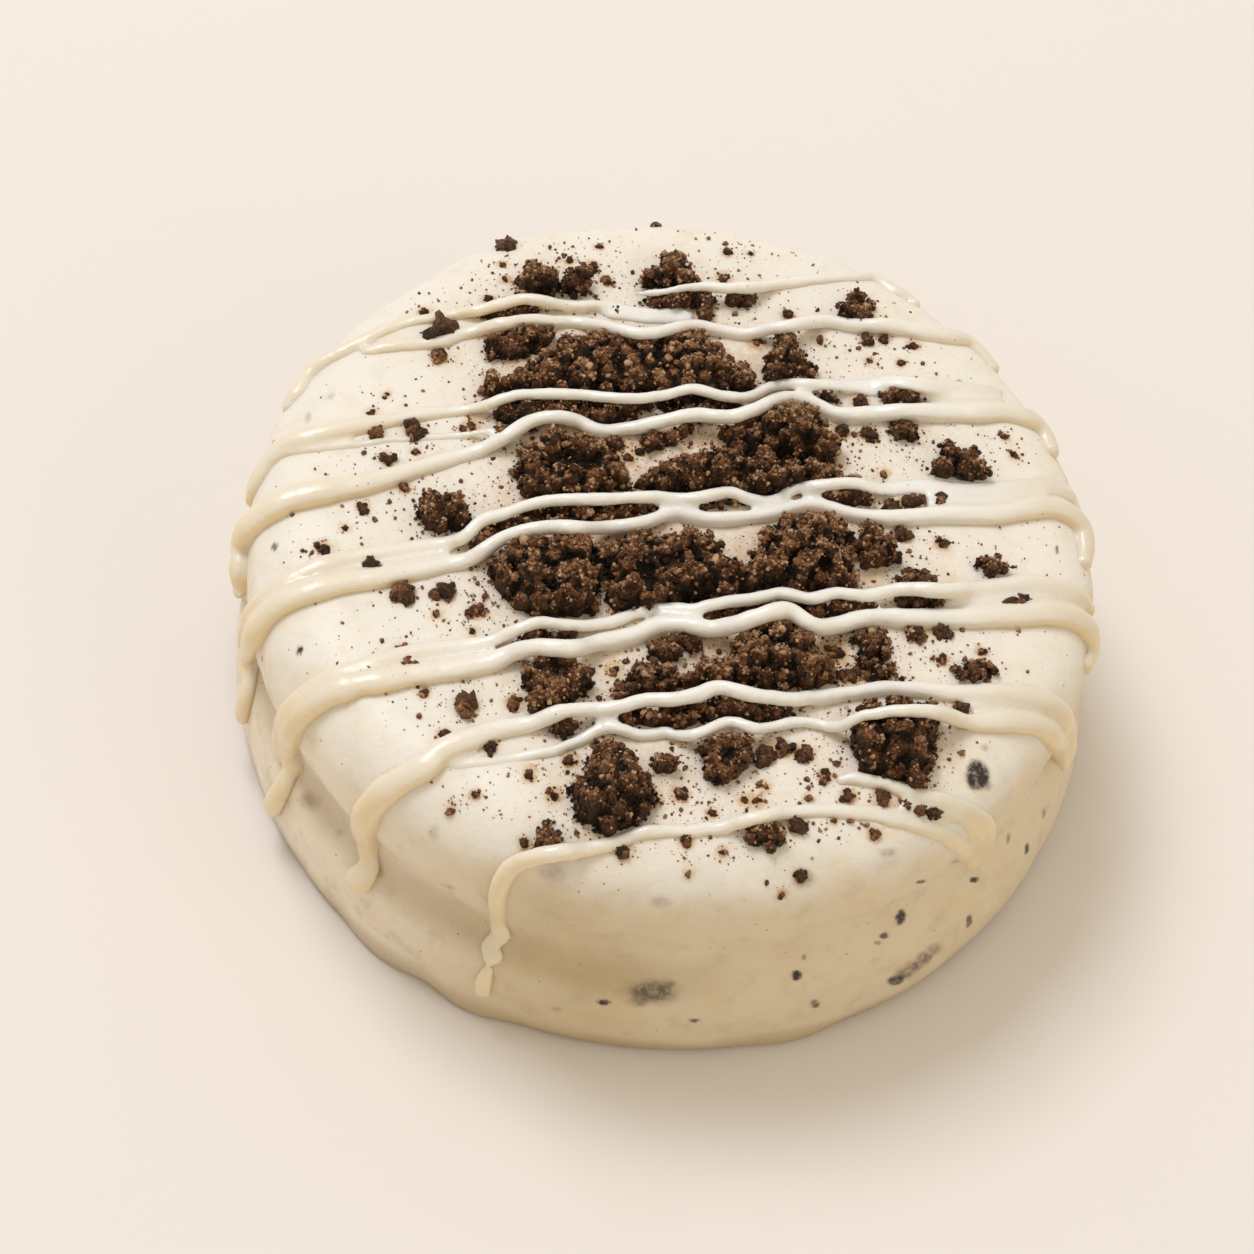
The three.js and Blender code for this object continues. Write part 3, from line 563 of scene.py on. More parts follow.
class Surface:
    """The outer skin of the coating: a turned profile with a swelling that changes round it."""

    def __init__(self, settings):
        self.height = settings.height / MM
        self.upper = {"radius": settings.upper_radius / MM, **UPPER_TIER}
        self.lower = {"radius": settings.lower_radius / MM, **LOWER_TIER}
        self.unevenness = settings.unevenness / MM
        self.line = self.profile()
        along = unit(np.gradient(self.line, axis=0))
        self.normals = np.stack([along[:, 1], -along[:, 0]], axis=1)
        self.table = self.near_table()

    def tier(self, sizes):
        """The rounded side of one wafer, as distance from the middle and height."""
        angles = np.radians(np.linspace(sizes["start"], sizes["end"], ARC_STEPS))
        power = 2 / SHOULDER_POWER
        across = np.abs(np.cos(angles)) ** power
        up = np.sign(np.sin(angles)) * np.abs(np.sin(angles)) ** power
        radius = sizes["radius"] - sizes["across"] * (1 - across)
        return np.stack([radius, sizes["centre"] + sizes["up"] * up], axis=1)

    def dome(self, radius):
        """The height of the gently domed top."""
        return self.height - DOME_DROP * (radius / (self.upper["radius"] - self.upper["across"])) ** 2

    def profile(self):
        """The outline from the middle of the underside to the middle of the top, evenly spaced."""
        rim = np.linspace(self.upper["radius"] - self.upper["across"], 0, ARC_STEPS)[1:]
        corners = np.concatenate([
            np.array([[0, 0], [BASE_RADIUS, 0]]),
            self.tier(self.lower),
            self.tier(self.upper),
            np.stack([rim, self.dome(rim)], axis=1),
        ])
        lengths = np.concatenate([[0], np.cumsum(np.linalg.norm(np.diff(corners, axis=0), axis=1))])
        places = np.linspace(0, lengths[-1], int(lengths[-1] / PROFILE_SPACING))
        line = np.stack([np.interp(places, lengths, corners[:, axis]) for axis in (0, 1)], axis=1)
        rounded = np.stack([evened(line[:, axis], GROOVE["soft_rounds"]) for axis in (0, 1)], axis=1)
        share = bell((line[:, 1] - GROOVE["height"]) / GROOVE["soft_height"])
        return line + share[:, None] * (rounded - line)

    def top_height(self, radius):
        """The height of the coating's upper side at some distances from its middle."""
        widest = np.argmax(self.line[:, 0] * (self.line[:, 1] > self.upper["centre"] - 1))
        upper = self.line[widest:][::-1]
        return np.interp(radius, upper[:, 0], upper[:, 1])

    def swell(self, azimuth, height):
        """How far the coating stands out from the turned shape, by azimuth in degrees and height."""
        away = turned_from(azimuth, GROOVE["azimuth"])
        band = bell((height - GROOVE["height"]) / GROOVE["half_height"])
        swell = band * (GROOVE["all_round"] + GROOVE["fill"] * bell(away / GROOVE["half_angle"]))
        below = ease(height, GROOVE["height"] + 1, GROOVE["height"] - 1)
        swell = swell + below * LOWER_TIER_SHIFT * np.cos(np.radians(azimuth))
        for middle, half_angle, reach in FOOT_POOLS:
            away = turned_from(azimuth, middle)
            swell = swell + reach * bell(away / half_angle) * bell(height / FOOT_HEIGHT)
        for middle, level, half_angle, half_height, reach in SIDE_DENTS:
            away = turned_from(azimuth, middle)
            swell = swell + reach * bell(np.hypot(away / half_angle, (height - level) / half_height))
        return swell

    def near_table(self):
        """The number of the profile point nearest to each square of a grid of radius and height."""
        rows = []
        height = np.arange(*TABLE_HEIGHTS, TABLE_STEP)
        up = height[:, None] - self.line[None, :, 1]
        for radius in np.arange(0, TABLE_RADIUS, TABLE_STEP):
            across = radius - self.line[None, :, 0]
            rows.append(np.argmin(across * across + up * up, axis=1))
        return np.array(rows)

    def nearest(self, radius, height):
        """The numbers of the profile points nearest to some places."""
        across = np.round(radius / TABLE_STEP).astype(int)
        up = np.round((height - TABLE_HEIGHTS[0]) / TABLE_STEP).astype(int)
        rows, columns = self.table.shape
        return self.table[np.clip(across, 0, rows - 1), np.clip(up, 0, columns - 1)]

    def under(self, points):
        """The numbers of the profile points under some points, and how far the coating swells there."""
        azimuth = np.degrees(np.arctan2(points[:, 1], points[:, 0]))
        radius = np.hypot(points[:, 0], points[:, 1])
        swell = np.zeros(len(points))
        for _ in range(2):
            near = self.nearest(radius - swell, points[:, 2])
            swell = self.swell(azimuth, self.line[near, 1]) * ease(radius, 0, SWELL_RADIUS)
        return near, swell

    def place(self, points, lift):
        """The points moved onto the coating and then off it by a lift."""
        azimuth = np.arctan2(points[:, 1], points[:, 0])
        near, swell = self.under(points)
        radius = self.line[near, 0] + self.normals[near, 0] * lift + swell
        height = self.line[near, 1] + self.normals[near, 1] * lift
        return np.stack([radius * np.cos(azimuth), radius * np.sin(azimuth), height], axis=1)

    def normal(self, points):
        """Which way the coating faces nearest to some points."""
        azimuth = np.arctan2(points[:, 1], points[:, 0])
        near, _ = self.under(points)
        across = self.normals[near, 0]
        return np.stack([across * np.cos(azimuth), across * np.sin(azimuth), self.normals[near, 1]], axis=1)

    def gap(self, points):
        """How far the points are outside the coating."""
        near, swell = self.under(points)
        across = np.hypot(points[:, 0], points[:, 1]) - swell - self.line[near, 0]
        up = points[:, 2] - self.line[near, 1]
        outside = np.sign(across * self.normals[near, 0] + up * self.normals[near, 1])
        return outside * np.hypot(across, up)


class PhotoView:
    """Where the photo was taken from, to lay a pixel of it on the coating."""

    def __init__(self, settings):
        elevation = settings.elevation
        back = np.array([0, -math.cos(elevation), math.sin(elevation)])
        level = np.array([0, math.sin(elevation), math.cos(elevation)])
        across = np.array([1.0, 0, 0])
        middle = np.array([0, 0, settings.aim_height / MM])
        distance = settings.distance / MM
        right = math.cos(settings.roll) * across - math.sin(settings.roll) * level
        up = math.sin(settings.roll) * across + math.cos(settings.roll) * level
        self.place = middle + back * distance
        off_across = (MIDDLE_PIXEL[0] - PHOTO_WIDTH / 2) / FOCAL_PIXELS * distance
        off_up = (PHOTO_WIDTH / 2 - MIDDLE_PIXEL[1]) / FOCAL_PIXELS * distance
        self.back = unit(self.place - (middle - right * off_across - up * off_up))
        self.right = unit(right - self.back * (right @ self.back))
        self.up = np.cross(self.back, self.right)

    def lay(self, surface, pixels, lift):
        """The places on the coating, raised by a lift, that show at some pixels of the photo."""
        pixels = np.asarray(pixels, float)
        across = (pixels[:, 0] - PHOTO_WIDTH / 2)[:, None] / FOCAL_PIXELS
        down = (pixels[:, 1] - PHOTO_WIDTH / 2)[:, None] / FOCAL_PIXELS
        rays = unit(self.right * across - self.up * down - self.back)
        reach = np.full(len(pixels), np.linalg.norm(self.place) - SIGHT["short"])
        closest = np.full(len(pixels), np.inf)
        best = reach.copy()
        for _ in range(SIGHT["steps"]):
            gap = surface.gap(self.place + rays * reach[:, None]) - lift
            nearer = gap < closest
            closest = np.where(nearer, gap, closest)
            best = np.where(nearer, reach, best)
            moving = (gap > SIGHT["close"]) & (gap < closest + SIGHT["farther"])
            if not moving.any():
                break
            reach = reach + np.maximum(gap, SIGHT["least_step"]) * moving
        return surface.place(self.place + rays * best[:, None], lift)


def between(at, start, end, first, second):
    """What lies between a first value at a start and a second one at an end."""
    return (end - at) / (end - start) * first + (at - start) / (end - start) * second


def smooth_line(points, step):
    """A centripetal Catmull-Rom line through the points, sampled about every step."""
    points = np.asarray(points, float)
    padded = np.concatenate([[2 * points[0] - points[1]], points, [2 * points[-1] - points[-2]]])
    line = []
    for index in range(1, len(padded) - 2):
        corners = padded[index - 1:index + 3]
        lengths = [np.linalg.norm(step) for step in np.diff(corners, axis=0)]
        knots = np.cumsum([0, *[max(length, 1e-6) ** 0.5 for length in lengths]])
        count = max(2, int(lengths[1] / step))
        at = np.linspace(knots[1], knots[2], count, endpoint=False)[:, None]
        first = between(at, knots[0], knots[1], corners[0], corners[1])
        second = between(at, knots[1], knots[2], corners[1], corners[2])
        third = between(at, knots[2], knots[3], corners[2], corners[3])
        early = between(at, knots[0], knots[2], first, second)
        late = between(at, knots[1], knots[3], second, third)
        line.append(between(at, knots[1], knots[2], early, late))
    return np.concatenate([*line, points[-1:]])


def evened(values, rounds):
    """Values along a line, averaged with their neighbours some times over."""
    for _ in range(rounds):
        values = np.convolve(np.pad(values, 1, mode="edge"), (0.25, 0.5, 0.25), mode="valid")
    return values


def depth_within(points, corners):
    """How deep points of a plane lie inside a closed outline, below 0 where they are outside it."""
    inside = np.zeros(len(points), bool)
    nearest = np.full(len(points), np.inf)
    for start, end in zip(corners, np.roll(corners, -1, axis=0)):
        edge = end - start
        away = points - start
        along = np.clip(away @ edge / max(edge @ edge, 1e-9), 0, 1)
        nearest = np.minimum(nearest, np.linalg.norm(away - along[:, None] * edge, axis=1))
        if edge[1]:
            crossed = (start[1] > points[:, 1]) != (end[1] > points[:, 1])
            inside ^= crossed & (away[:, 0] < away[:, 1] * edge[0] / edge[1])
    return np.where(inside, nearest, -nearest)


def spread_out(grid, reach):
    """A grid averaged with its neighbours out to about a reach in cells."""
    for _ in range(3):
        for axis in (0, 1):
            total = grid.copy()
            for step in range(1, reach + 1):
                total += np.roll(grid, step, axis) + np.roll(grid, -step, axis)
            grid = total / (2 * reach + 1)
    return grid


class CrumbField:
    """The crumb heaps as one knobbly height over the coating, on a square grid."""

    def __init__(self, surface, view, seed):
        self.side = int(2 * HEAP_REACH / HEAP_CELL) + 1
        line = np.linspace(-HEAP_REACH, HEAP_REACH, self.side)
        across, along = np.meshgrid(line, line, indexing="ij")
        self.places = np.stack([across.ravel(), along.ravel()], axis=1)
        self.base = surface.top_height(np.linalg.norm(self.places, axis=1))
        self.rise = np.zeros(len(self.places))
        self.look = np.zeros(len(self.places), int)
        for index, (height, look, outline) in enumerate(HEAPS):
            self.pile(surface, view, height, list(GRAIN_LOOKS).index(look), outline, index)
        self.add_nodules(np.random.default_rng(seed))
        grid = self.rise.reshape(self.side, self.side)
        self.slope = np.stack([part.ravel() for part in np.gradient(grid, HEAP_CELL)], axis=1)
        self.pit = spread_out(grid, 3).ravel() - self.rise
        self.near = spread_out((grid > 0).astype(float), int(HAZE_REACH / HEAP_CELL)).ravel()

    def pile(self, surface, view, height, look, outline, seed):
        """Adds one heap. Its far edge is seen over its top, so it leans towards the camera from there."""
        pixels = np.array(outline, float)
        far = (pixels[:, 1].max() - pixels[:, 1]) / np.ptp(pixels[:, 1])
        ring = view.lay(surface, pixels, HEAP_LEAN * height * far)[:, :2]
        low, high = ring.min(axis=0) - 1, ring.max(axis=0) + 1
        near = np.flatnonzero(((self.places > low) & (self.places < high)).all(axis=1))
        spots = np.column_stack([self.places[near], np.zeros(len(near))])
        shifts = []
        for first in (60, 260):
            fine = ripple(spots, FRAYING["fine"], first + 100 + seed)
            shifts.append(ripple(spots, FRAYING["coarse"], first + seed) + FRAYING["fine_share"] * fine)
        frayed = self.places[near] + FRAYING["reach"] * np.stack(shifts, axis=1)
        share = np.clip(depth_within(frayed, ring) / (HEAP_SLOPE * height), 0, 1)
        lumps = LUMPS["mean"] + LUMPS["share"] * ripple(spots, LUMPS["size"], 460 + seed)
        rise = height * np.sqrt(1 - (1 - share) ** 2) * lumps
        higher = rise > self.rise[near]
        self.rise[near] = np.where(higher, rise, self.rise[near])
        self.look[near] = np.where(higher, look, self.look[near])

    def add_nodules(self, random):
        """Rounded nodules over the heaps, which leave deep pits between them."""
        filled = np.flatnonzero(self.rise > 0.1)
        count = int(len(filled) * HEAP_CELL ** 2 * NODULES_PER_SQUARE_MM)
        bumps = []
        for cell in random.choice(filled, count):
            radius = random.uniform(*NODULE_RADII)
            bumps.append((cell, radius, self.rise[cell] + radius * random.uniform(*NODULE_RISE)))
        for cell, radius, middle in bumps:
            reach = int(radius / HEAP_CELL) + 1
            row, column = divmod(cell, self.side)
            rows = np.arange(row - reach, row + reach + 1)
            columns = np.arange(column - reach, column + reach + 1)
            cells = (rows[:, None] * self.side + columns[None, :]).ravel()
            away = np.linalg.norm(self.places[cells] - self.places[cell], axis=1)
            dome = middle + np.sqrt(np.clip(radius ** 2 - away ** 2, 0, None))
            dome = np.where(away < radius, dome, 0)
            self.look[cells] = np.where(self.rise[cells] > 0, self.look[cells], self.look[cell])
            self.rise[cells] = np.maximum(self.rise[cells], dome)

    def cells_at(self, points):
        """The grid cells nearest to some points."""
        steps = np.clip(np.round((points[:, :2] + HEAP_REACH) / HEAP_CELL).astype(int), 0, self.side - 1)
        return steps[:, 0] * self.side + steps[:, 1]

    def scatter(self, density, random):
        """Random places all over the heaps: their cells, the points and which way the heap faces there."""
        weights = (self.rise > 0.06) * np.sqrt(1 + np.minimum((self.slope ** 2).sum(axis=1), 5))
        count = int(density * weights.sum() * HEAP_CELL ** 2)
        cells = random.choice(len(weights), count, p=weights / weights.sum())
        shift = random.uniform(-0.5, 0.5, (count, 2)) * HEAP_CELL
        slope = np.clip(self.slope[cells], -2, 2)
        height = self.base[cells] + self.rise[cells] + (slope * shift).sum(axis=1)
        facing = unit(np.column_stack([-slope, np.ones(count)]))
        return cells, np.column_stack([self.places[cells] + shift, height]), facing

    def ceiling(self):
        """The widened height of the crumbs, for the drizzle that lies across them."""
        top = (self.base + self.rise) * (self.rise > 0.1)
        grid = top.reshape(self.side, self.side)
        widened = grid.copy()
        reach = int(STRAND_FEEL / HEAP_CELL)
        for across in range(-reach, reach + 1):
            for along in range(-reach, reach + 1):
                widened = np.maximum(widened, np.roll(grid, (across, along), axis=(0, 1)))
        return widened.ravel()

    def core(self):
        """A closed dark body just below the grains: corners, triangles and the cell of each corner."""
        filled = (self.rise > CORE["least"]).reshape(self.side, self.side)
        squares = filled[:-1, :-1] & filled[1:, :-1] & filled[:-1, 1:] & filled[1:, 1:]
        row, column = np.nonzero(squares)
        here = row * self.side + column
        around = np.stack([here, here + self.side, here + self.side + 1, here + 1], axis=1)
        used, squares_on = np.unique(around, return_inverse=True)
        squares_on = squares_on.reshape(-1, 4)
        edges = np.concatenate([squares_on[:, [side, (side + 1) % 4]] for side in range(4)])
        keys = np.sort(edges, axis=1) @ np.array([len(used), 1])
        single = np.isin(keys, np.unique(keys)[np.unique(keys, return_counts=True)[1] == 1])
        rim = np.zeros(len(used), bool)
        rim[edges[single].ravel()] = True
        stand = np.where(rim, -CORE["rim"], self.rise[used] - CORE["below"])
        top = np.column_stack([self.places[used], self.base[used] + stand])
        below = np.column_stack([self.places[used], self.base[used] - CORE["underside"]])
        lower = np.where(rim, np.arange(len(used)), len(used) + np.arange(len(used)))
        faces = []
        for first, second, third in ((0, 1, 2), (0, 2, 3)):
            faces.append(squares_on[:, [first, second, third]])
            # Three corners on the rim have no lower side of their own.
            under = squares_on[:, [first, third, second]]
            faces.append(lower[under[~rim[under].all(axis=1)]])
        return np.concatenate([top, below]), np.concatenate(faces), np.tile(used, 2)


def ball(subdivisions):
    """The corners and triangles of a faceted ball of radius 1."""
    shape = bmesh.new()
    bmesh.ops.create_icosphere(shape, subdivisions=subdivisions, radius=1)
    corners = np.array([corner.co[:] for corner in shape.verts])
    faces = np.array([[corner.index for corner in face.verts] for face in shape.faces])
    shape.free()
    return corners, faces


def strand_radius(number, widths, path, count):
    """Half the width of a strand at each of its points: a little uneven, and narrower at both ends."""
    share = np.linspace(0, 1, count)
    left, middle, right = widths
    radius = np.interp(share, WIDTH_PLACES, (left, left, middle, middle, right, right)) / PIXELS_PER_MM / 2
    places = np.stack([share * len(path) * 2, share * 0 + number, share * 0], axis=1)
    wobble = ripple(places, WIDTH_WOBBLE["size"], WIDTH_WOBBLE["seed"] + number)
    from_end = np.minimum(np.arange(count), np.arange(count)[::-1]) * STRAND_STEP
    narrowed = END_WIDTH + (1 - END_WIDTH) * ease(from_end, 0, END_TAPER)
    return evened(radius, 30) * (1 + WIDTH_WOBBLE["share"] * wobble) * narrowed


def melted(number, pixels):
    """1 where a strand sank into the coating and 0 where it stands on it."""
    if number not in MELTED:
        return np.zeros(len(pixels))
    start, end = MELTED[number]
    begun = ease(pixels[:, 0], start - MELT_RAMP, start + MELT_RAMP)
    return begun * ease(pixels[:, 0], end + MELT_RAMP, end - MELT_RAMP)


def bridged(needed):
    """A smooth rise that reaches nearly all that is needed, as a soft strand hangs from crumb to crumb."""
    raised = needed
    for _ in range(12):
        raised = np.maximum(evened(raised, 3), needed * 0.9)
    return evened(raised, 6)


def strand_lines(surface, view, field):
    """Each strand's middle line, which way the coating faces there, its sizes and how far it is raised."""
    ceiling = field.ceiling()
    strands = []
    for number, (widths, path) in enumerate(STRANDS):
        pixels = smooth_line(path, STRAND_STEP * PIXELS_PER_MM)
        radius = strand_radius(number, widths, path, len(pixels))
        flat = melted(number, pixels)
        raised = np.zeros(len(pixels))
        height = radius
        for _ in range(REST_ROUNDS):
            rest = height - STRAND_SINK
            points = view.lay(surface, pixels, rest + raised)
            bare = surface.place(points, rest)
            under = ceiling[field.cells_at(points)]
            raised = bridged(np.where(under > 0, np.maximum(under + height - CRUMB_PRESS - bare[:, 2], 0), 0))
            away = np.hypot(points[:, 0] - EDGE["across"], points[:, 1] * EDGE["along_share"])
            spread = ease(away, EDGE["start"], EDGE["end"]) * ease(raised, EDGE["raised"], 0)
            height = radius * (1 - (1 - END_HEIGHT) * spread) * (1 - (1 - MELTED_HEIGHT) * flat)
        points = np.stack([evened(points[:, axis], 3) for axis in range(3)], axis=1)
        strands.append({
            "points": points,
            "normals": surface.normal(points),
            "radius": radius * (1 + MELTED_SPREAD * flat),
            "height": height * STRAND_FLATNESS,
            "raised": raised,
        })
    return strands


def all_along(strands, name):
    """One measure of every strand, end to end."""
    return np.concatenate([strand[name] for strand in strands])


def strand_tree(strands):
    """The points of every strand as a tree, to search for the nearest one."""
    points = all_along(strands, "points")
    tree = KDTree(len(points))
    for index, point in enumerate(points):
        tree.insert(point, index)
    tree.balance()
    return tree


def setting_values(group):
    """The values of a group of settings, to tell whether they changed."""
    values = (getattr(group, name) for name in group.__annotations__)
    return tuple(tuple(value) if hasattr(value, "__len__") else value for value in values)


def groundwork(scene):
    """The coating's surface, the photo's view, the crumb heaps and the strands, worked out once."""
    groups = (scene.cookie_coating, scene.cookie_stage, scene.cookie_crumbs)
    key = tuple(setting_values(group) for group in groups)
    if key not in GROUNDWORK:
        surface = Surface(scene.cookie_coating)
        view = PhotoView(scene.cookie_stage)
        field = CrumbField(surface, view, scene.cookie_crumbs.seed)
        GROUNDWORK.clear()
        GROUNDWORK[key] = surface, view, field, strand_lines(surface, view, field)
    return GROUNDWORK[key]


def ring_faces(rings, sides):
    """Triangles between rings of corners, and from both end rings to the two corners that follow them."""
    ring, side = np.meshgrid(np.arange(rings - 1), np.arange(sides), indexing="ij")
    here = (ring * sides + side).ravel()
    beside = (ring * sides + (side + 1) % sides).ravel()
    around = np.arange(sides)
    ahead = (around + 1) % sides
    last = (rings - 1) * sides
    return np.concatenate([
        np.stack([here, beside, here + sides], axis=1),
        np.stack([beside, beside + sides, here + sides], axis=1),
        np.stack([np.full(sides, rings * sides), ahead, around], axis=1),
        np.stack([np.full(sides, rings * sides + 1), last + around, last + ahead], axis=1),
    ])


def tube(points, normals, half_widths, half_heights):
    """A closed tube along a line with rounded ends, as corners and triangles."""
    tangents = unit(np.gradient(points, axis=0))
    across = unit(np.cross(tangents, normals))
    upward = unit(np.cross(across, tangents))
    turn = np.linspace(0, 2 * math.pi, STRAND_SIDES, endpoint=False)
    first_cap = [(0, -math.radians(angle)) for angle in CAP_ANGLES]
    last_cap = [(-1, math.radians(angle)) for angle in reversed(CAP_ANGLES)]
    body = [(index, 0) for index in range(len(points))]
    centres = []
    rings = []
    for index, angle in (*first_cap, *body, *last_cap):
        centre = points[index] + tangents[index] * half_heights[index] * math.sin(angle)
        sideways = np.cos(turn) * (half_widths[index] * math.cos(angle))
        up = np.sin(turn) * (half_heights[index] * math.cos(angle))
        centres.append(centre)
        rings.append(centre + np.outer(sideways, across[index]) + np.outer(up, upward[index]))
    corners = np.concatenate([*rings, centres[:1], centres[-1:]])
    return corners, ring_faces(len(rings), STRAND_SIDES)[:, [0, 2, 1]]


def joined(parts):
    """Several sets of corners and faces as one."""
    corners = np.concatenate([part[0] for part in parts])
    starts = np.cumsum([0, *[len(part[0]) for part in parts[:-1]]])
    faces = np.concatenate([part[1] + start for part, start in zip(parts, starts)])
    return corners, faces


def scattered(shape, centres, sizes, roughness, random):
    """Copies of a faceted ball at some centres, each turned and roughened in its own way."""
    corners, faces = shape
    count = len(centres)
    spin = unit(random.normal(size=(count, 4)))
    w, x, y, z = spin.T
    turns = np.stack([
        1 - 2 * (y * y + z * z), 2 * (x * y - w * z), 2 * (x * z + w * y),
        2 * (x * y + w * z), 1 - 2 * (x * x + z * z), 2 * (y * z - w * x),
        2 * (x * z - w * y), 2 * (y * z + w * x), 1 - 2 * (x * x + y * y),
    ], axis=1).reshape(count, 3, 3)
    rough = 1 + roughness * random.uniform(-1, 1, (count, len(corners)))
    local = corners[None, :, :] * rough[:, :, None] * sizes[:, None, :]
    placed = np.einsum("nij,nkj->nki", turns, local) + centres[:, None, :]
    starts = np.arange(count)[:, None, None] * len(corners)
    return placed.reshape(-1, 3), (faces[None, :, :] + starts).reshape(-1, 3)


def mesh_from(name, corners, faces):
    """A smooth-shaded mesh from corners in millimetres and triangles."""
    mesh = bpy.data.meshes.new(name)
    mesh.vertices.add(len(corners))
    mesh.vertices.foreach_set("co", (corners * MM).astype(np.float32).ravel())
    mesh.loops.add(faces.size)
    mesh.loops.foreach_set("vertex_index", faces.astype(np.int32).ravel())
    mesh.polygons.add(len(faces))
    mesh.polygons.foreach_set("loop_start", np.arange(0, faces.size, 3, dtype=np.int32))
    mesh.polygons.foreach_set("use_smooth", np.ones(len(faces), bool))
    mesh.update(calc_edges=True)
    mesh.validate()
    return mesh


def shade_values(mesh, name, values):
    """Keeps a number for each corner of a mesh, which its material reads."""
    layer = mesh.attributes.new(name, "FLOAT", "POINT")
    layer.data.foreach_set("value", np.asarray(values, np.float32))


def add_piece(name, mesh, material):
    """Puts a finished piece in the scene, in place of the part's plain solid."""
    piece = bpy.data.objects.new(name, mesh)
    bpy.context.scene.collection.objects.link(piece)
    mesh.materials.append(material)
    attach(piece, "root")
    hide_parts("dipped_cookie")
    return piece


class Shade:
    """One output of a material's nodes. Arithmetic on it adds Math nodes."""

    def __init__(self, tree, socket=None):
        self.tree = tree
        self.socket = socket

    def node(self, kind, settings, values, output=0):
        """Adds a node, sets its settings first, fills its sockets and gives one of its outputs."""
        node = self.tree.nodes.new(kind)
        for name, setting in settings.items():
            if name == "stops":
                while len(node.color_ramp.elements) < len(setting):
                    node.color_ramp.elements.new(1)
                for element, (position, color) in zip(node.color_ramp.elements, setting):
                    element.position = position
                    element.color = color
            else:
                setattr(node, name, setting)
        for name, value in values.items():
            if isinstance(value, Shade):
                self.tree.links.new(value.socket, node.inputs[name])
            else:
                node.inputs[name].default_value = value
        return Shade(self.tree, node.outputs[output])

    def math(self, operation, *values):
        """A Math node on some values."""
        return self.node("ShaderNodeMath", {"operation": operation}, dict(enumerate(values)))

    def __add__(self, other):
        return self.math("ADD", self, other)

    __radd__ = __add__

    def __sub__(self, other):
        return self.math("SUBTRACT", self, other)

    def __rsub__(self, other):
        return self.math("SUBTRACT", other, self)

    def __mul__(self, other):
        return self.math("MULTIPLY", self, other)

    __rmul__ = __mul__

    def stepped(self, low, high):
        """0 below low and 1 above high, with a smooth rise between. Low may be above high."""
        kind = {"interpolation_type": "SMOOTHSTEP"}
        if low > high:
            return 1 - self.stepped(high, low)
        return self.node("ShaderNodeMapRange", kind, {"Value": self, "From Min": low, "From Max": high})

    def mixed(self, first, second):
        """One colour turning into another where this is 1."""
        kind = {"data_type": "RGBA", "clamp_factor": True}
        return self.node("ShaderNodeMix", kind, {0: self, 6: first, 7: second}, output=2)

    def scaled(self, *factors):
        """A place multiplied along its three axes."""
        return self.node("ShaderNodeVectorMath", {"operation": "MULTIPLY"}, {0: self, 1: factors})

    def moved(self, *steps):
        """A place shifted along its three axes."""
        return self.node("ShaderNodeVectorMath", {"operation": "ADD"}, {0: self, 1: steps})

    def facing_up(self):
        """1 where the surface faces straight up and 0 where it stands upright."""
        return self.node("ShaderNodeNewGeometry", {}, {}, output="Normal").part(2)

    def part(self, axis):
        """One of the three parts of a place."""
        return self.node("ShaderNodeSeparateXYZ", {}, {"Vector": self}, output=axis)

    def length(self):
        """How long a place's vector is."""
        return self.node("ShaderNodeVectorMath", {"operation": "LENGTH"}, {0: self}, output="Value")

    def noise(self, scale, detail=3.0, roughness=0.5):
        """Soft noise, about 0.5 on average."""
        values = {"Vector": self, "Scale": scale, "Detail": detail, "Roughness": roughness}
        return self.node("ShaderNodeTexNoise", {}, values)

    def cells(self, scale, output):
        """Random cells: the distance to each one's middle, or its own colour."""
        return self.node("ShaderNodeTexVoronoi", {}, {"Vector": self, "Scale": scale}, output)

    def specks(self, scale, share, size):
        """Small round dots in a share of random cells."""
        chosen = self.cells(scale, "Color").part(0).stepped(1 - share, 1 - share + 0.02)
        return chosen * self.cells(scale, "Distance").stepped(size, size * 0.55)

    def kept(self, name):
        """A number kept on the mesh's corners."""
        return self.node("ShaderNodeAttribute", {"attribute_name": name}, {}, output="Fac")

    def bump(self, strength, distance):
        """The surface's facing, roughened by this as a height."""
        values = {"Height": self, "Strength": strength, "Distance": distance}
        return self.node("ShaderNodeBump", {}, values)


def new_material(name):
    """A material with its shader node and the place in millimetres as a start."""
    material = bpy.data.materials.new(name)
    material.use_nodes = True
    shader = material.node_tree.nodes["Principled BSDF"]
    start = Shade(material.node_tree)
    place = start.node("ShaderNodeTexCoord", {}, {}, output="Object").scaled(1 / MM, 1 / MM, 1 / MM)
    return material, shader, place


def finish_shader(shader, color, roughness, normal, constants):
    """Links what varies over the surface and sets what is the same all over."""
    links = shader.id_data.links
    links.new(color.socket, shader.inputs["Base Color"])
    links.new(roughness.socket, shader.inputs["Roughness"])
    links.new(normal.socket, shader.inputs["Normal"])
    for name, value in constants.items():
        shader.inputs[name].default_value = value


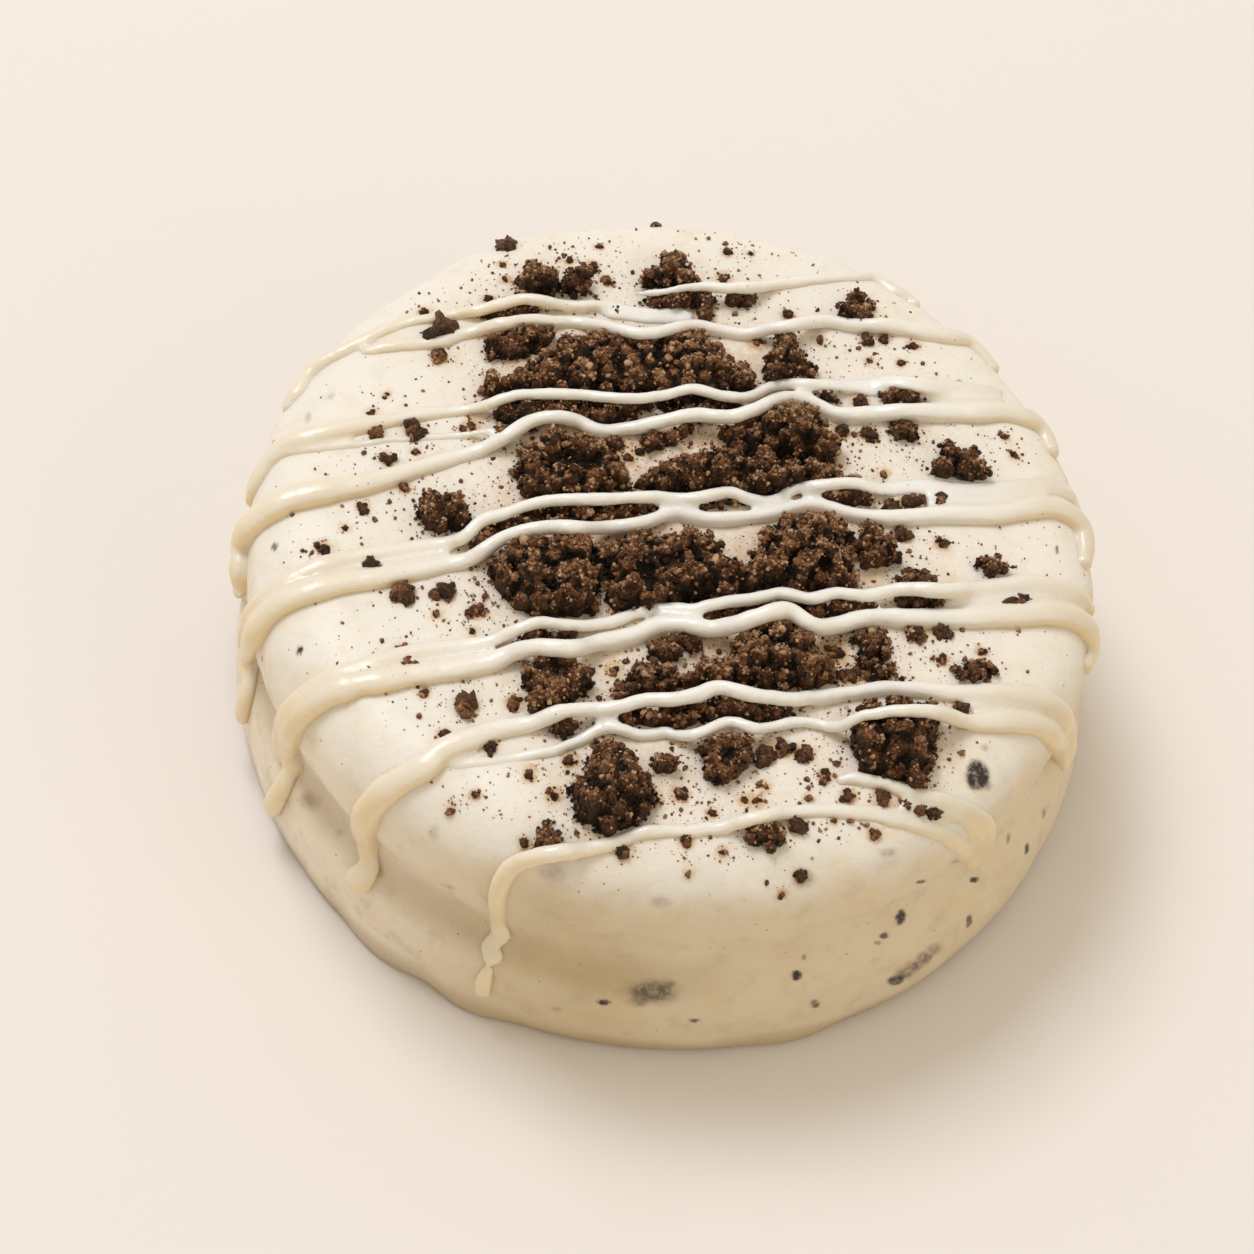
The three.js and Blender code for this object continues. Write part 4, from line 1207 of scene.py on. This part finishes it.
def coating_material(settings):
    """Ivory white chocolate: satin and slightly translucent, with specks, and brown dust round the crumbs."""
    material, shader, place = new_material("white_coating")
    height = place.part(2)
    # Painted shade: the side turns from the top's ivory into a darker, warmer cream, with some cloudy
    # unevenness.
    side = height.stepped(16.7, 13.0)
    cloud = place.noise(0.25, 3, 0.5)
    shade = (side * 0.85 + (cloud - 0.5) * 0.6).stepped(0, 1)
    # Painted light: the side is paler on the left, where the main light falls, and a little on the right.
    lit = place.part(0).stepped(1, -17) + place.part(0).stepped(-5, 6) * 0.4
    shaded_side_color = lit.mixed(tuple(settings.shaded_side_color), tuple(settings.lit_side_color))
    color = shade.mixed(tuple(settings.top_color), shaded_side_color)
    # Painted shade: darker, warmer cream in the groove between the tiers, except towards the right.
    groove_shade = height.stepped(5, 7) * height.stepped(9.8, 7.6) * place.part(0).stepped(9, 2)
    color = (groove_shade * 0.35).mixed(color, paint(168, 140, 98))
    # Painted shade: darker, warmer cream at the bottom edge, where the coating curves in over the floor.
    foot_shade = height.stepped(2.4, 0.3)
    color = (foot_shade * 0.55).mixed(color, paint(150, 120, 78))
    grey = place.noise(0.5, 4, 0.6).stepped(0.5, 0.72) * (side * 0.2 + 0.12)
    color = grey.mixed(color, paint(176, 166, 140))
    dusty = place.kept("dust")
    haze = dusty * place.noise(2.6, 5, 0.65).stepped(0.34, 0.62) * 0.85
    color = haze.mixed(color, paint(208, 168, 112))
    halo = dusty.stepped(0.3, 0.75) * place.noise(1.7, 3, 0.6).stepped(0.3, 0.6) * 0.65
    color = halo.mixed(color, paint(194, 144, 86))
    stain = place.noise(0.35, 4, 0.6).stepped(0.5, 0.72) * (0.25 + dusty * 0.4)
    color = stain.mixed(color, paint(218, 186, 134))
    fine_specks = place.specks(3.0, 0.30, 0.17) * (dusty + 0.22).stepped(0.05, 0.6)
    color = fine_specks.mixed(color, paint(150, 104, 64))
    specks = place.specks(1.4, 0.22, 0.12) * 0.7
    color = specks.mixed(color, paint(140, 100, 64))
    large_specks = place.scaled(1, 1, 0.6).specks(0.45, 0.12, 0.1) * 0.55
    color = large_specks.mixed(color, paint(112, 94, 80))
    sunken = place.kept("sunken") * (place.noise(2.2, 4, 0.65).stepped(0.3, 0.6) * 0.45 + 0.7)
    bit = sunken.stepped(0.25, 0.7).mixed(paint(138, 106, 78), paint(52, 42, 40))
    color = sunken.mixed(color, bit)
    roughness = place.noise(0.8, 4, 0.6) * 0.4 + 0.32
    relief = place.noise(0.9, 3, 0.5) * 0.6 + place.noise(4.0, 4, 0.6) * 0.3
    normal = relief.bump(0.5, 0.25 * MM)
    finish_shader(shader, color, roughness, normal, {
        "Subsurface Weight": 0.2,
        "Subsurface Radius": (1.0, 0.8, 0.55),
        "Subsurface Scale": 1.4 * MM,
        "IOR": 1.46,
        "Specular IOR Level": 0.38,
        "Coat Weight": 0.1,
        "Coat Roughness": 0.22,
    })
    return material


def drizzle_material(settings):
    """Thicker white chocolate: cool white in the middle, cream at the ends, with long soft streaks."""
    material, shader, place = new_material("white_drizzle")
    reach = place.moved(-2.5, 0, 0).scaled(1, 0.75, 0).length()
    ends = (reach + (place.noise(0.3, 2, 0.5) - 0.5) * 4).stepped(11, 23)
    end_color = place.part(0).stepped(0, 16).mixed(tuple(settings.end_color), tuple(settings.right_color))
    color = ends.mixed(tuple(settings.middle_color), end_color)
    # Painted shade: sides of the strands that turn away from above are a darker, warmer cream, most towards
    # the ends.
    flank_shade = place.facing_up().stepped(0.85, 0.15) * (ends * 0.55 + 0.1)
    color = flank_shade.mixed(color, paint(234, 206, 152))
    specks = place.specks(1.6, 0.12, 0.1) * 0.8
    color = specks.mixed(color, paint(110, 80, 56))
    lengthwise = {"X": place.kept("across"), "Y": place.kept("along") * 0.09}
    streak = place.node("ShaderNodeCombineXYZ", {}, lengthwise).noise(2.4, 2, 0.5)
    roughness = streak * 0.3 + 0.2
    normal = (streak * 0.5 + place.noise(1.6, 3, 0.55) * 0.8).bump(0.35, 0.2 * MM)
    finish_shader(shader, color, roughness, normal, {
        "Subsurface Weight": 0.3,
        "Subsurface Radius": (1.0, 0.7, 0.4),
        "Subsurface Scale": 1.0 * MM,
        "IOR": 1.46,
        "Coat Weight": 0.35,
        "Coat Roughness": 0.14,
    })
    return material


def crumb_material(settings, name, relief):
    """Dark baked crumb: near black to tan by tone and painted shade, rough with small oily glints."""
    material, shader, place = new_material(name)
    tone = place.kept("tone") + (place.noise(5, 4, 0.7) - 0.5) * 1.3
    stops = (
        (0.0, paint(15, 8, 4)),
        (0.3, tuple(settings.dark_color)),
        (0.55, tuple(settings.middle_color)),
        (0.78, paint(168, 120, 82)),
        (1.0, tuple(settings.tan_color)),
    )
    color = tone.node("ShaderNodeValToRGB", {"stops": stops}, {"Fac": tone}, output="Color")
    roughness = place.noise(6, 3, 0.6) * 0.6 + 0.12
    normal = place.noise(5, 5, 0.75).bump(relief, 0.25 * MM)
    finish_shader(shader, color, roughness, normal, {
        "IOR": 1.45,
        "Specular IOR Level": 0.5,
        "Specular Tint": (1.0, 0.8, 0.62, 1.0),
    })
    return material


def floor_material(settings):
    """A plain pale tabletop with the faintest grain."""
    material, shader, place = new_material("pale_floor")
    floor_color = tuple(settings.floor_color)
    darker = (*(0.985 * part for part in floor_color[:3]), 1)
    color = place.noise(0.02, 3, 0.5).mixed(floor_color, darker)
    roughness = place.noise(0.1, 2, 0.5) * 0.1 + 0.7
    finish_shader(shader, color, roughness, place.noise(1.5, 2, 0.5).bump(0.1, 0.02 * MM), {"IOR": 1.4})
    return material


def length_setting(name, description, millimetres):
    """A setting for a length."""
    return bpy.props.FloatProperty(
        name=name, description=description, default=millimetres * MM, unit="LENGTH")


def angle_setting(name, description, degrees):
    """A setting for an angle."""
    return bpy.props.FloatProperty(
        name=name, description=description, default=math.radians(degrees), unit="ROTATION")


def color_setting(name, description, *screen_values):
    """A setting for a colour, given by its red, green and blue from 0 to 255."""
    return bpy.props.FloatVectorProperty(
        name=name, description=description, default=paint(*screen_values), size=4, subtype="COLOR")


class CoatingSettings(bpy.types.PropertyGroup):
    """Sizes and colours of the coated cookie."""

    height: length_setting("Height", "Height of the bare coating at its middle", 17.5)
    upper_radius: length_setting("Upper radius", "Radius of the upper tier", 25.2)
    lower_radius: length_setting("Lower radius", "Radius of the lower tier", 26.0)
    unevenness: length_setting("Unevenness", "How far the dipped surface waves", 0.11)
    top_color: color_setting("Top colour", "Ivory of the top", 231, 224, 211)
    # The side colour is painted shade of the side, and the left side colour is painted light on it.
    shaded_side_color: color_setting("Side colour", "Cream of the side", 203, 180, 139)
    lit_side_color: color_setting("Left side colour", "Paler cream of the left side", 236, 223, 201)


class DrizzleSettings(bpy.types.PropertyGroup):
    """Form and colours of the drizzled strands."""

    thickness: bpy.props.FloatProperty(
        name="Thickness", description="Factor on every strand's width", default=1.0, min=0.2, max=2.0,
        subtype="FACTOR")
    middle_color: color_setting("Middle colour", "White over the crumbs", 235, 230, 221)
    end_color: color_setting("End colour", "Cream at the left edge", 227, 216, 196)
    right_color: color_setting("Right colour", "Cream at the right edge", 219, 207, 185)


class CrumbSettings(bpy.types.PropertyGroup):
    """Amount and colours of the cookie crumbs."""

    seed: bpy.props.IntProperty(name="Seed", description="Start of the random draws", default=7)
    density: bpy.props.FloatProperty(
        name="Grain density", description="Factor on the number of grains", default=1.0, min=0.1, max=1.2)
    dark_color: color_setting("Dark colour", "Colour of most grains", 50, 29, 15)
    middle_color: color_setting("Middle colour", "Colour of lighter grains", 103, 65, 39)
    tan_color: color_setting("Tan colour", "Colour of the few pale grains", 226, 186, 144)


class StageSettings(bpy.types.PropertyGroup):
    """Camera, lights and floor."""

    elevation: angle_setting("Elevation", "Camera angle above the horizon", 53.9)
    roll: angle_setting("Roll", "Turn of the camera about its view", -9.2)
    distance: length_setting("Distance", "From the camera to the cookie's middle", CAMERA_DISTANCE)
    aim_height: length_setting("Aim height", "Height of the point aimed at", 8)
    key_power: bpy.props.FloatProperty(
        name="Main light", description="Power of the large soft light", default=9.2, unit="POWER")
    sky_strength: bpy.props.FloatProperty(
        name="Sky", description="Strength of the even light from all round", default=0.68)
    floor_color: color_setting("Floor colour", "Colour of the tabletop", 229, 222, 215)


class COOKIE_OT_coating(bpy.types.Operator):
    """Adds the dipped cookie's white coating"""

    bl_idname = "cookie.coating"
    bl_label = "Add coating"

    def execute(self, context):
        settings = context.scene.cookie_coating
        surface, view, field, _ = groundwork(context.scene)
        turn = np.concatenate([
            np.arange(FRONT_TURN["start"], FRONT_TURN["end"], FRONT_TURN["step"]),
            np.arange(FRONT_TURN["end"], FRONT_TURN["start"] + 360, REAR_STEP),
        ])
        lines = len(turn)
        rows = surface.line[1:-1]
        normals = surface.normals[1:-1]
        number = np.arange(len(rows))
        outer = (rows[:, 0] > TOP_MIDDLE["radius"]) | (number % TOP_MIDDLE["step"] == 0)
        upper = (rows[:, 1] > UNDERSIDE["height"]) & outer
        kept = upper | (number % UNDERSIDE["step"] == 0)
        rows, normals = rows[kept], normals[kept]
        radius = np.repeat(rows[:, 0], lines)
        height = np.repeat(rows[:, 1], lines)
        azimuth = np.tile(turn, len(rows))
        swell = surface.swell(azimuth, height) * ease(radius, 0, SWELL_RADIUS)
        out = np.stack([np.cos(np.radians(azimuth)), np.sin(np.radians(azimuth))], axis=1)
        corners = np.concatenate([out * (radius + swell)[:, None], height[:, None]], axis=1)
        wave = sum(share * ripple(corners, size, seed) for size, seed, share in WAVES)
        calm = TOP_WAVES["share"]
        below_top = calm + (1 - calm) * ease(height, TOP_WAVES["end"], TOP_WAVES["start"])
        wave *= surface.unevenness * ease(height, 0, WAVE_FOOT) * below_top
        facing = np.repeat(normals, lines, axis=0)
        corners[:, :2] += out * (facing[:, :1] * wave[:, None])
        corners[:, 2] += facing[:, 1] * wave
        corners = np.concatenate([corners, [[0, 0, 0], [0, 0, surface.height]]])
        mesh = mesh_from("coating", corners, ring_faces(len(rows), lines))
        shade_values(mesh, "dust", self.dust(surface, view, field, corners))
        shade_values(mesh, "sunken", self.sunken(surface, view, corners))
        add_piece("coating", mesh, coating_material(settings))
        return {"FINISHED"}

    def dust(self, surface, view, field, corners):
        """How dusty the coating is, from the crumbs near each corner."""
        dust = field.near[field.cells_at(corners)] * (corners[:, 2] > BARE_SIDE)
        places = view.lay(surface, [pebble[:2] for pebble in PEBBLES], 0.1)
        for place, (_, _, width) in zip(places, PEBBLES):
            reach = width / PIXELS_PER_MM / 2 + CRUMB_HAZE["farther"]
            dust += CRUMB_HAZE["strength"] * bell(np.linalg.norm(corners - place, axis=1) / reach)
        return np.clip(dust, 0, 1)

    def sunken(self, surface, view, corners):
        """How much of a dark cookie bit shows through the coating at each corner."""
        places = view.lay(surface, [bit[:2] for bit in SUNKEN_BITS], 0)
        shown = np.zeros(len(corners))
        for index, (place, bit) in enumerate(zip(places, SUNKEN_BITS)):
            half_width, half_height, darkness = bit[2:]
            reach = 2.4 * max(half_width, half_height)
            near = np.flatnonzero(np.linalg.norm(corners - place, axis=1) * PIXELS_PER_MM < reach)
            away = (corners[near] - place) * PIXELS_PER_MM
            distance = np.hypot(away @ view.right / half_width, away @ view.up / half_height)
            size = 0.5 + min(half_width, half_height) / PIXELS_PER_MM
            ragged = distance + RAGGEDNESS * ripple(corners[near], size, 8 + index)
            edge = CLEAR_EDGE if darkness > CLEAR_BIT else BLURRED_EDGE
            depth = min(1, 1.1 * darkness) * ease(ragged, *edge)
            shown[near] = np.maximum(shown[near], depth)
        return shown


class COOKIE_OT_drizzle(bpy.types.Operator):
    """Adds the drizzled strands and their drips"""

    bl_idname = "cookie.drizzle"
    bl_label = "Add drizzle"

    def execute(self, context):
        scene = context.scene
        surface, view, _, strands = groundwork(scene)
        thickness = scene.cookie_drizzle.thickness
        parts = []
        for strand in strands:
            radius = strand["radius"] * thickness
            height = strand["height"] * thickness
            parts.append(tube(strand["points"], strand["normals"], radius, height))
            parts += self.skirts(surface, strand, radius)
        for half_width, path in FILMS:
            points = view.lay(surface, smooth_line(path, STRAND_STEP * PIXELS_PER_MM), 0)
            width = np.full(len(points), half_width / PIXELS_PER_MM)
            parts.append(tube(points, surface.normal(points), width, width * 0 + FILM_HEIGHT))
        for drip in DRIPS:
            line = smooth_line(drip, STRAND_STEP * PIXELS_PER_MM)
            width = line[:, 2] / PIXELS_PER_MM * thickness
            points = view.lay(surface, line[:, :2], width * DRIP_LIFT)
            parts.append(tube(points, surface.normal(points), width, width * DRIP_HEIGHT))
        corners, faces = joined(parts)
        # The tubes keep their millimetres until they are one body, as voxels of a fifth of a millimetre are
        # too fine in metres.
        rough = bpy.data.objects.new("drizzle_rough", mesh_from("drizzle_rough", corners / MM, faces))
        scene.collection.objects.link(rough)
        skin = rough.modifiers.new("skin", "REMESH")
        skin.mode = "VOXEL"
        skin.voxel_size = DRIZZLE_VOXEL
        skin.use_smooth_shade = True
        smooth = rough.modifiers.new("smooth", "SMOOTH")
        smooth.factor = DRIZZLE_SMOOTHING["factor"]
        smooth.iterations = DRIZZLE_SMOOTHING["rounds"]
        dressed = rough.evaluated_get(context.evaluated_depsgraph_get())
        mesh = bpy.data.meshes.new_from_object(dressed)
        mesh.name = "drizzle"
        self.keep_streaks(mesh, strands)
        mesh.transform(Matrix.Scale(MM, 4))
        bpy.data.objects.remove(rough)
        add_piece("drizzle", mesh, drizzle_material(scene.cookie_drizzle))
        return {"FINISHED"}

    def keep_streaks(self, mesh, strands):
        """Notes how far each corner lies across and along the nearest strand."""
        points = all_along(strands, "points")
        tangents = np.concatenate([unit(np.gradient(strand["points"], axis=0)) for strand in strands])
        sideways = unit(np.cross(tangents, all_along(strands, "normals")))
        tree = strand_tree(strands)
        corners = np.empty(len(mesh.vertices) * 3)
        mesh.vertices.foreach_get("co", corners)
        corners = corners.reshape(-1, 3)
        nearest = np.array([tree.find(Vector(corner))[1] for corner in corners])
        away = corners - points[nearest]
        shade_values(mesh, "across", (away * sideways[nearest]).sum(axis=1))
        shade_values(mesh, "along", nearest * STRAND_STEP + (away * tangents[nearest]).sum(axis=1))

    def skirts(self, surface, strand, radius):
        """Flat feet that melt a strand into the coating where it lies right on it."""
        low = strand["raised"] < SKIRT["raised"]
        feet = []
        start = None
        for index in range(len(low) + 1):
            resting = index < len(low) and low[index]
            if resting and start is None:
                start = index
            if not resting and start is not None:
                if index - start > SKIRT["points"]:
                    stretch = slice(start, index)
                    points = surface.place(strand["points"][stretch], -SKIRT["depth"])
                    width = radius[stretch] * SKIRT["width"]
                    height = SKIRT["depth"] + radius[stretch] * SKIRT["height"]
                    feet.append(tube(points, strand["normals"][stretch], width, height))
                start = None
        return feet


class COOKIE_OT_crumb_heaps(bpy.types.Operator):
    """Adds the crumb heaps: a dark core under many grains"""

    bl_idname = "cookie.crumb_heaps"
    bl_label = "Add crumb heaps"

    def execute(self, context):
        scene = context.scene
        surface, _, field, lines = groundwork(scene)
        settings = scene.cookie_crumbs
        material = crumb_material(settings, "cookie_crumb", 1.0)
        strands = strand_tree(lines), all_along(lines, "radius")
        random = np.random.default_rng(settings.seed)
        corners, faces, cells = field.core()
        mesh = mesh_from("heap_cores", corners, faces)
        # The core under the grains gets a little more painted shade than the grains.
        shade_values(mesh, "tone", self.tones(field, cells) - CORE_SHADE)
        add_piece("heap_cores", mesh, material)
        for name, kind in GRAIN_KINDS.items():
            grains = self.grains(field, kind, name, random, settings.density)
            points, radii, tones = clear_of(strands, surface, *grains)
            # The medium grains are so many that they make two pieces.
            parts = {f"{name}_grains": points[:, 1] < np.inf}
            if name == "medium":
                parts = {"medium_grains_far": points[:, 1] > 0, "medium_grains_near": points[:, 1] <= 0}
            for title, chosen in parts.items():
                group = (points[chosen], radii[chosen], tones[chosen])
                add_grains(title, [group], ball(kind["ball"]), GRAIN_ROUGHNESS, random, material)
        return {"FINISHED"}

    def tones(self, field, cells):
        """The heaps' tones at some cells: by their look, with painted shade in pits, low down and in front.
        """
        looks = np.array([look["tone"] for look in GRAIN_LOOKS.values()])
        pit_shade = np.clip(PIT_SHADE * field.pit[cells], *PIT_SHADE_LIMITS)
        front_shade = FRONT_SHADE * np.clip(field.slope[cells, 1], 0, FRONT_SHADE_SLOPE)
        foot_shade = FOOT_SHADE * ease(field.rise[cells], FOOT_OF_HEAP, 0)
        return looks[field.look[cells]] + TONE_LIFT - pit_shade - front_shade - foot_shade

    def grains(self, field, kind, name, random, density):
        """The middles, sizes and tones of one kind of grain, all over the heaps."""
        cells, points, facing = field.scatter(kind["density"] * density, random)
        looks = list(GRAIN_LOOKS.values())
        shares = np.array([look["large"] if name == "large" else 1.0 for look in looks])[field.look[cells]]
        kept = random.uniform(size=len(cells)) * FULL_SHARE < shares
        cells, points, facing = cells[kept], points[kept], facing[kept]
        small, large = kind["radii"]
        radii = small + (large - small) * random.uniform(size=len(cells)) ** SMALLER_POWER
        points += facing * (radii * random.uniform(*GRAIN_RISE, len(cells)))[:, None]
        tones = self.tones(field, cells) + kind["lighter"]
        spread = np.array([look["spread"] for look in looks])[field.look[cells]] * kind["spread"]
        tones += spread * random.normal(size=len(cells))
        tones += TONE_DRIFT["amount"] * ripple(points, TONE_DRIFT["size"], TONE_DRIFT["seed"])
        pale = random.uniform(size=len(cells)) < np.array([look["tan"] for look in looks])[field.look[cells]]
        tones = np.where(pale, random.uniform(*TAN_TONES, len(cells)), tones)
        return points, radii, tones


def clear_of(strands, surface, points, radii, tones):
    """Only the grains that stand out of the coating and don't poke through a strand."""
    tree, strand_radii = strands
    above = surface.gap(points) > CLEARANCE["coating"] * radii
    kept = []
    for index in np.flatnonzero(above):
        _, nearest, distance = tree.find(Vector(points[index]))
        if distance > strand_radii[nearest] + CLEARANCE["strand"] * radii[index]:
            kept.append(index)
    return points[kept], radii[kept], np.clip(tones[kept], 0, 1)


def add_grains(name, groups, shape, roughness, random, material):
    """One piece made of all grains of some groups."""
    points = np.concatenate([group[0] for group in groups])
    radii = np.concatenate([group[1] for group in groups])
    tones = np.concatenate([group[2] for group in groups])
    sizes = radii[:, None] * random.uniform(0.7, 1.3, (len(radii), 3))
    corners, faces = scattered(shape, points, sizes, roughness, random)
    mesh = mesh_from(name, corners, faces)
    shade_values(mesh, "tone", np.repeat(tones, len(shape[0])))
    add_piece(name, mesh, material)


class COOKIE_OT_loose_crumbs(bpy.types.Operator):
    """Adds the single crumbs and the fine dust on the coating"""

    bl_idname = "cookie.loose_crumbs"
    bl_label = "Add loose crumbs"

    def execute(self, context):
        scene = context.scene
        surface, view, field, lines = groundwork(scene)
        settings = scene.cookie_crumbs
        material = crumb_material(settings, "loose_crumb", 0.6)
        fine = crumb_material(settings, "crumb_dust", 0.15)
        random = np.random.default_rng(settings.seed + 1)
        strands = strand_tree(lines), all_along(lines, "radius")
        places = view.lay(surface, [pebble[:2] for pebble in PEBBLES], 0.15)
        groups = []
        for place, (_, _, width) in zip(places, PEBBLES):
            groups.append(self.pebble(surface, place, width / PIXELS_PER_MM / 2, random))
        add_grains("loose_crumbs", groups, ball(2), PEBBLE["roughness"], random, material)
        specks = self.dust(surface, view, field, strands, random)
        add_grains("crumb_dust", [specks], ball(1), DUST["roughness"], random, fine)
        return {"FINISHED"}

    def pebble(self, surface, place, half, random):
        """One crumb: a flat angular body with a few grains pressed on."""
        count = 1 + int(PEBBLE["grains"] * half)
        turn = random.uniform(0, math.pi)
        longer = half * random.uniform(*PEBBLE["long"])
        narrower = half * random.uniform(*PEBBLE["narrow"])
        along = np.array([math.cos(turn), math.sin(turn), 0])
        across = np.array([-math.sin(turn), math.cos(turn), 0])
        steps = random.uniform(-PEBBLE["off"], PEBBLE["off"], (count, 2))
        steps[0] = 0
        away = steps[:, :1] * longer * along + steps[:, 1:] * narrower * across
        lift = half * PEBBLE["rise"] * random.uniform(0, PEBBLE["higher"], count)
        points = surface.place(place + away, lift)
        radii = half * random.uniform(*PEBBLE["radii"], count)
        radii[0] = half * PEBBLE["first_radius" if count > 3 else "lone_radius"]
        tones = PEBBLE["tone"] + PEBBLE["spread"] * random.normal(size=count)
        return points, radii, np.clip(tones, 0, 1)

    def dust(self, surface, view, field, strands, random):
        """Fine brown specks, thickest close to the heaps."""
        places = view.lay(surface, [pebble[:2] for pebble in PEBBLES], 0)
        starts = np.concatenate([field.scatter(1, random)[1], np.repeat(places, 2, axis=0)])
        specks = DUST["specks"]
        points = starts[random.integers(0, len(starts), specks)]
        away = DUST["least_distance"] + random.exponential(DUST["mean_distance"], specks)
        points[:, :2] += random.normal(size=(specks, 2)) * away[:, None]
        on_top = np.hypot(points[:, 0], points[:, 1]) < DUST["edge"]
        points = points[(field.rise[field.cells_at(points)] == 0) & on_top]
        radii = DUST["least_radius"] + random.exponential(DUST["mean_radius"], len(points))
        radii = np.minimum(radii, DUST["most_radius"])
        points = surface.place(points, radii * DUST["rise"])
        tones = random.uniform(*DUST["tones"], len(points)) - radii
        return clear_of(strands, surface, points, radii, tones)


class COOKIE_OT_stage(bpy.types.Operator):
    """Adds the floor, the soft light and the camera"""

    bl_idname = "cookie.stage"
    bl_label = "Add stage"

    def execute(self, context):
        scene = context.scene
        settings = scene.cookie_stage
        self.add_floor(scene, settings)
        for name, light in LIGHTS.items():
            self.add_light(scene, name, light, settings.key_power)
        self.add_sky(scene, settings.sky_strength)
        self.add_camera(scene, settings)
        scene.view_settings.view_transform = "Standard"
        return {"FINISHED"}

    def add_floor(self, scene, settings):
        """The pale floor, level with the cookie's flat underside."""
        half = FLOOR_HALF_WIDTH
        corners = [(-half, -half, 0), (half, -half, 0), (half, half, 0), (-half, half, 0)]
        mesh = bpy.data.meshes.new("floor")
        mesh.from_pydata(corners, [], [(0, 1, 2, 3)])
        floor = bpy.data.objects.new("floor", mesh)
        scene.collection.objects.link(floor)
        mesh.materials.append(floor_material(settings))

    def add_light(self, scene, name, kind, main_power):
        """A square soft light that faces the cookie."""
        data = bpy.data.lights.new(name, "AREA")
        data.size = kind["size"]
        data.energy = main_power * kind["share"]
        data.color = kind["color"]
        light = bpy.data.objects.new(name, data)
        scene.collection.objects.link(light)
        light.location = kind["place"]
        light.rotation_euler = Vector(kind["place"]).to_track_quat("Z", "Y").to_euler()

    def add_sky(self, scene, strength):
        """Warm even light from all round."""
        sky = bpy.data.worlds.new("soft_sky")
        scene.world = sky
        sky.use_nodes = True
        background = sky.node_tree.nodes["Background"]
        background.inputs["Color"].default_value = SKY_COLOR
        background.inputs["Strength"].default_value = strength

    def add_camera(self, scene, settings):
        """The camera, at the photo's angle and distance."""
        view = PhotoView(settings)
        data = bpy.data.cameras.new("camera")
        data.sensor_width = SENSOR_WIDTH
        data.lens = FOCAL_PIXELS * SENSOR_WIDTH / PHOTO_WIDTH
        data.clip_start = 0.01
        camera = bpy.data.objects.new("camera", data)
        scene.collection.objects.link(camera)
        axes = Matrix((view.right, view.up, view.back)).transposed().to_4x4()
        camera.matrix_world = Matrix.Translation(Vector(view.place * MM)) @ axes
        scene.camera = camera


class COOKIE_PT_panel(bpy.types.Panel):
    """Lists the steps that build the cookie"""

    bl_label = "Dipped cookie"
    bl_space_type = "VIEW_3D"
    bl_region_type = "UI"
    bl_category = "Cookie"

    def draw(self, context):
        layout = self.layout
        for name in SETTINGS:
            box = layout.box()
            settings = getattr(context.scene, name)
            for entry in settings.__annotations__:
                box.prop(settings, entry)
        for operator in OPERATORS:
            layout.operator(operator.bl_idname)


OPERATORS = (
    COOKIE_OT_coating,
    COOKIE_OT_drizzle,
    COOKIE_OT_crumb_heaps,
    COOKIE_OT_loose_crumbs,
    COOKIE_OT_stage,
)
SETTINGS = {
    "cookie_coating": CoatingSettings,
    "cookie_drizzle": DrizzleSettings,
    "cookie_crumbs": CrumbSettings,
    "cookie_stage": StageSettings,
}


def register():
    """Adds the settings, the operators and the panel to Blender."""
    for name, group in SETTINGS.items():
        bpy.utils.register_class(group)
        setattr(bpy.types.Scene, name, bpy.props.PointerProperty(type=group))
    for kind in (*OPERATORS, COOKIE_PT_panel):
        bpy.utils.register_class(kind)


def unregister():
    """Takes them away again."""
    for kind in (COOKIE_PT_panel, *reversed(OPERATORS)):
        bpy.utils.unregister_class(kind)
    for name, group in SETTINGS.items():
        delattr(bpy.types.Scene, name)
        bpy.utils.unregister_class(group)


def main():
    """Builds the cookie and its stage."""
    register()
    bpy.ops.cookie.coating()
    bpy.ops.cookie.drizzle()
    bpy.ops.cookie.crumb_heaps()
    bpy.ops.cookie.loose_crumbs()
    bpy.ops.cookie.stage()


if __name__ == "__main__":
    main()
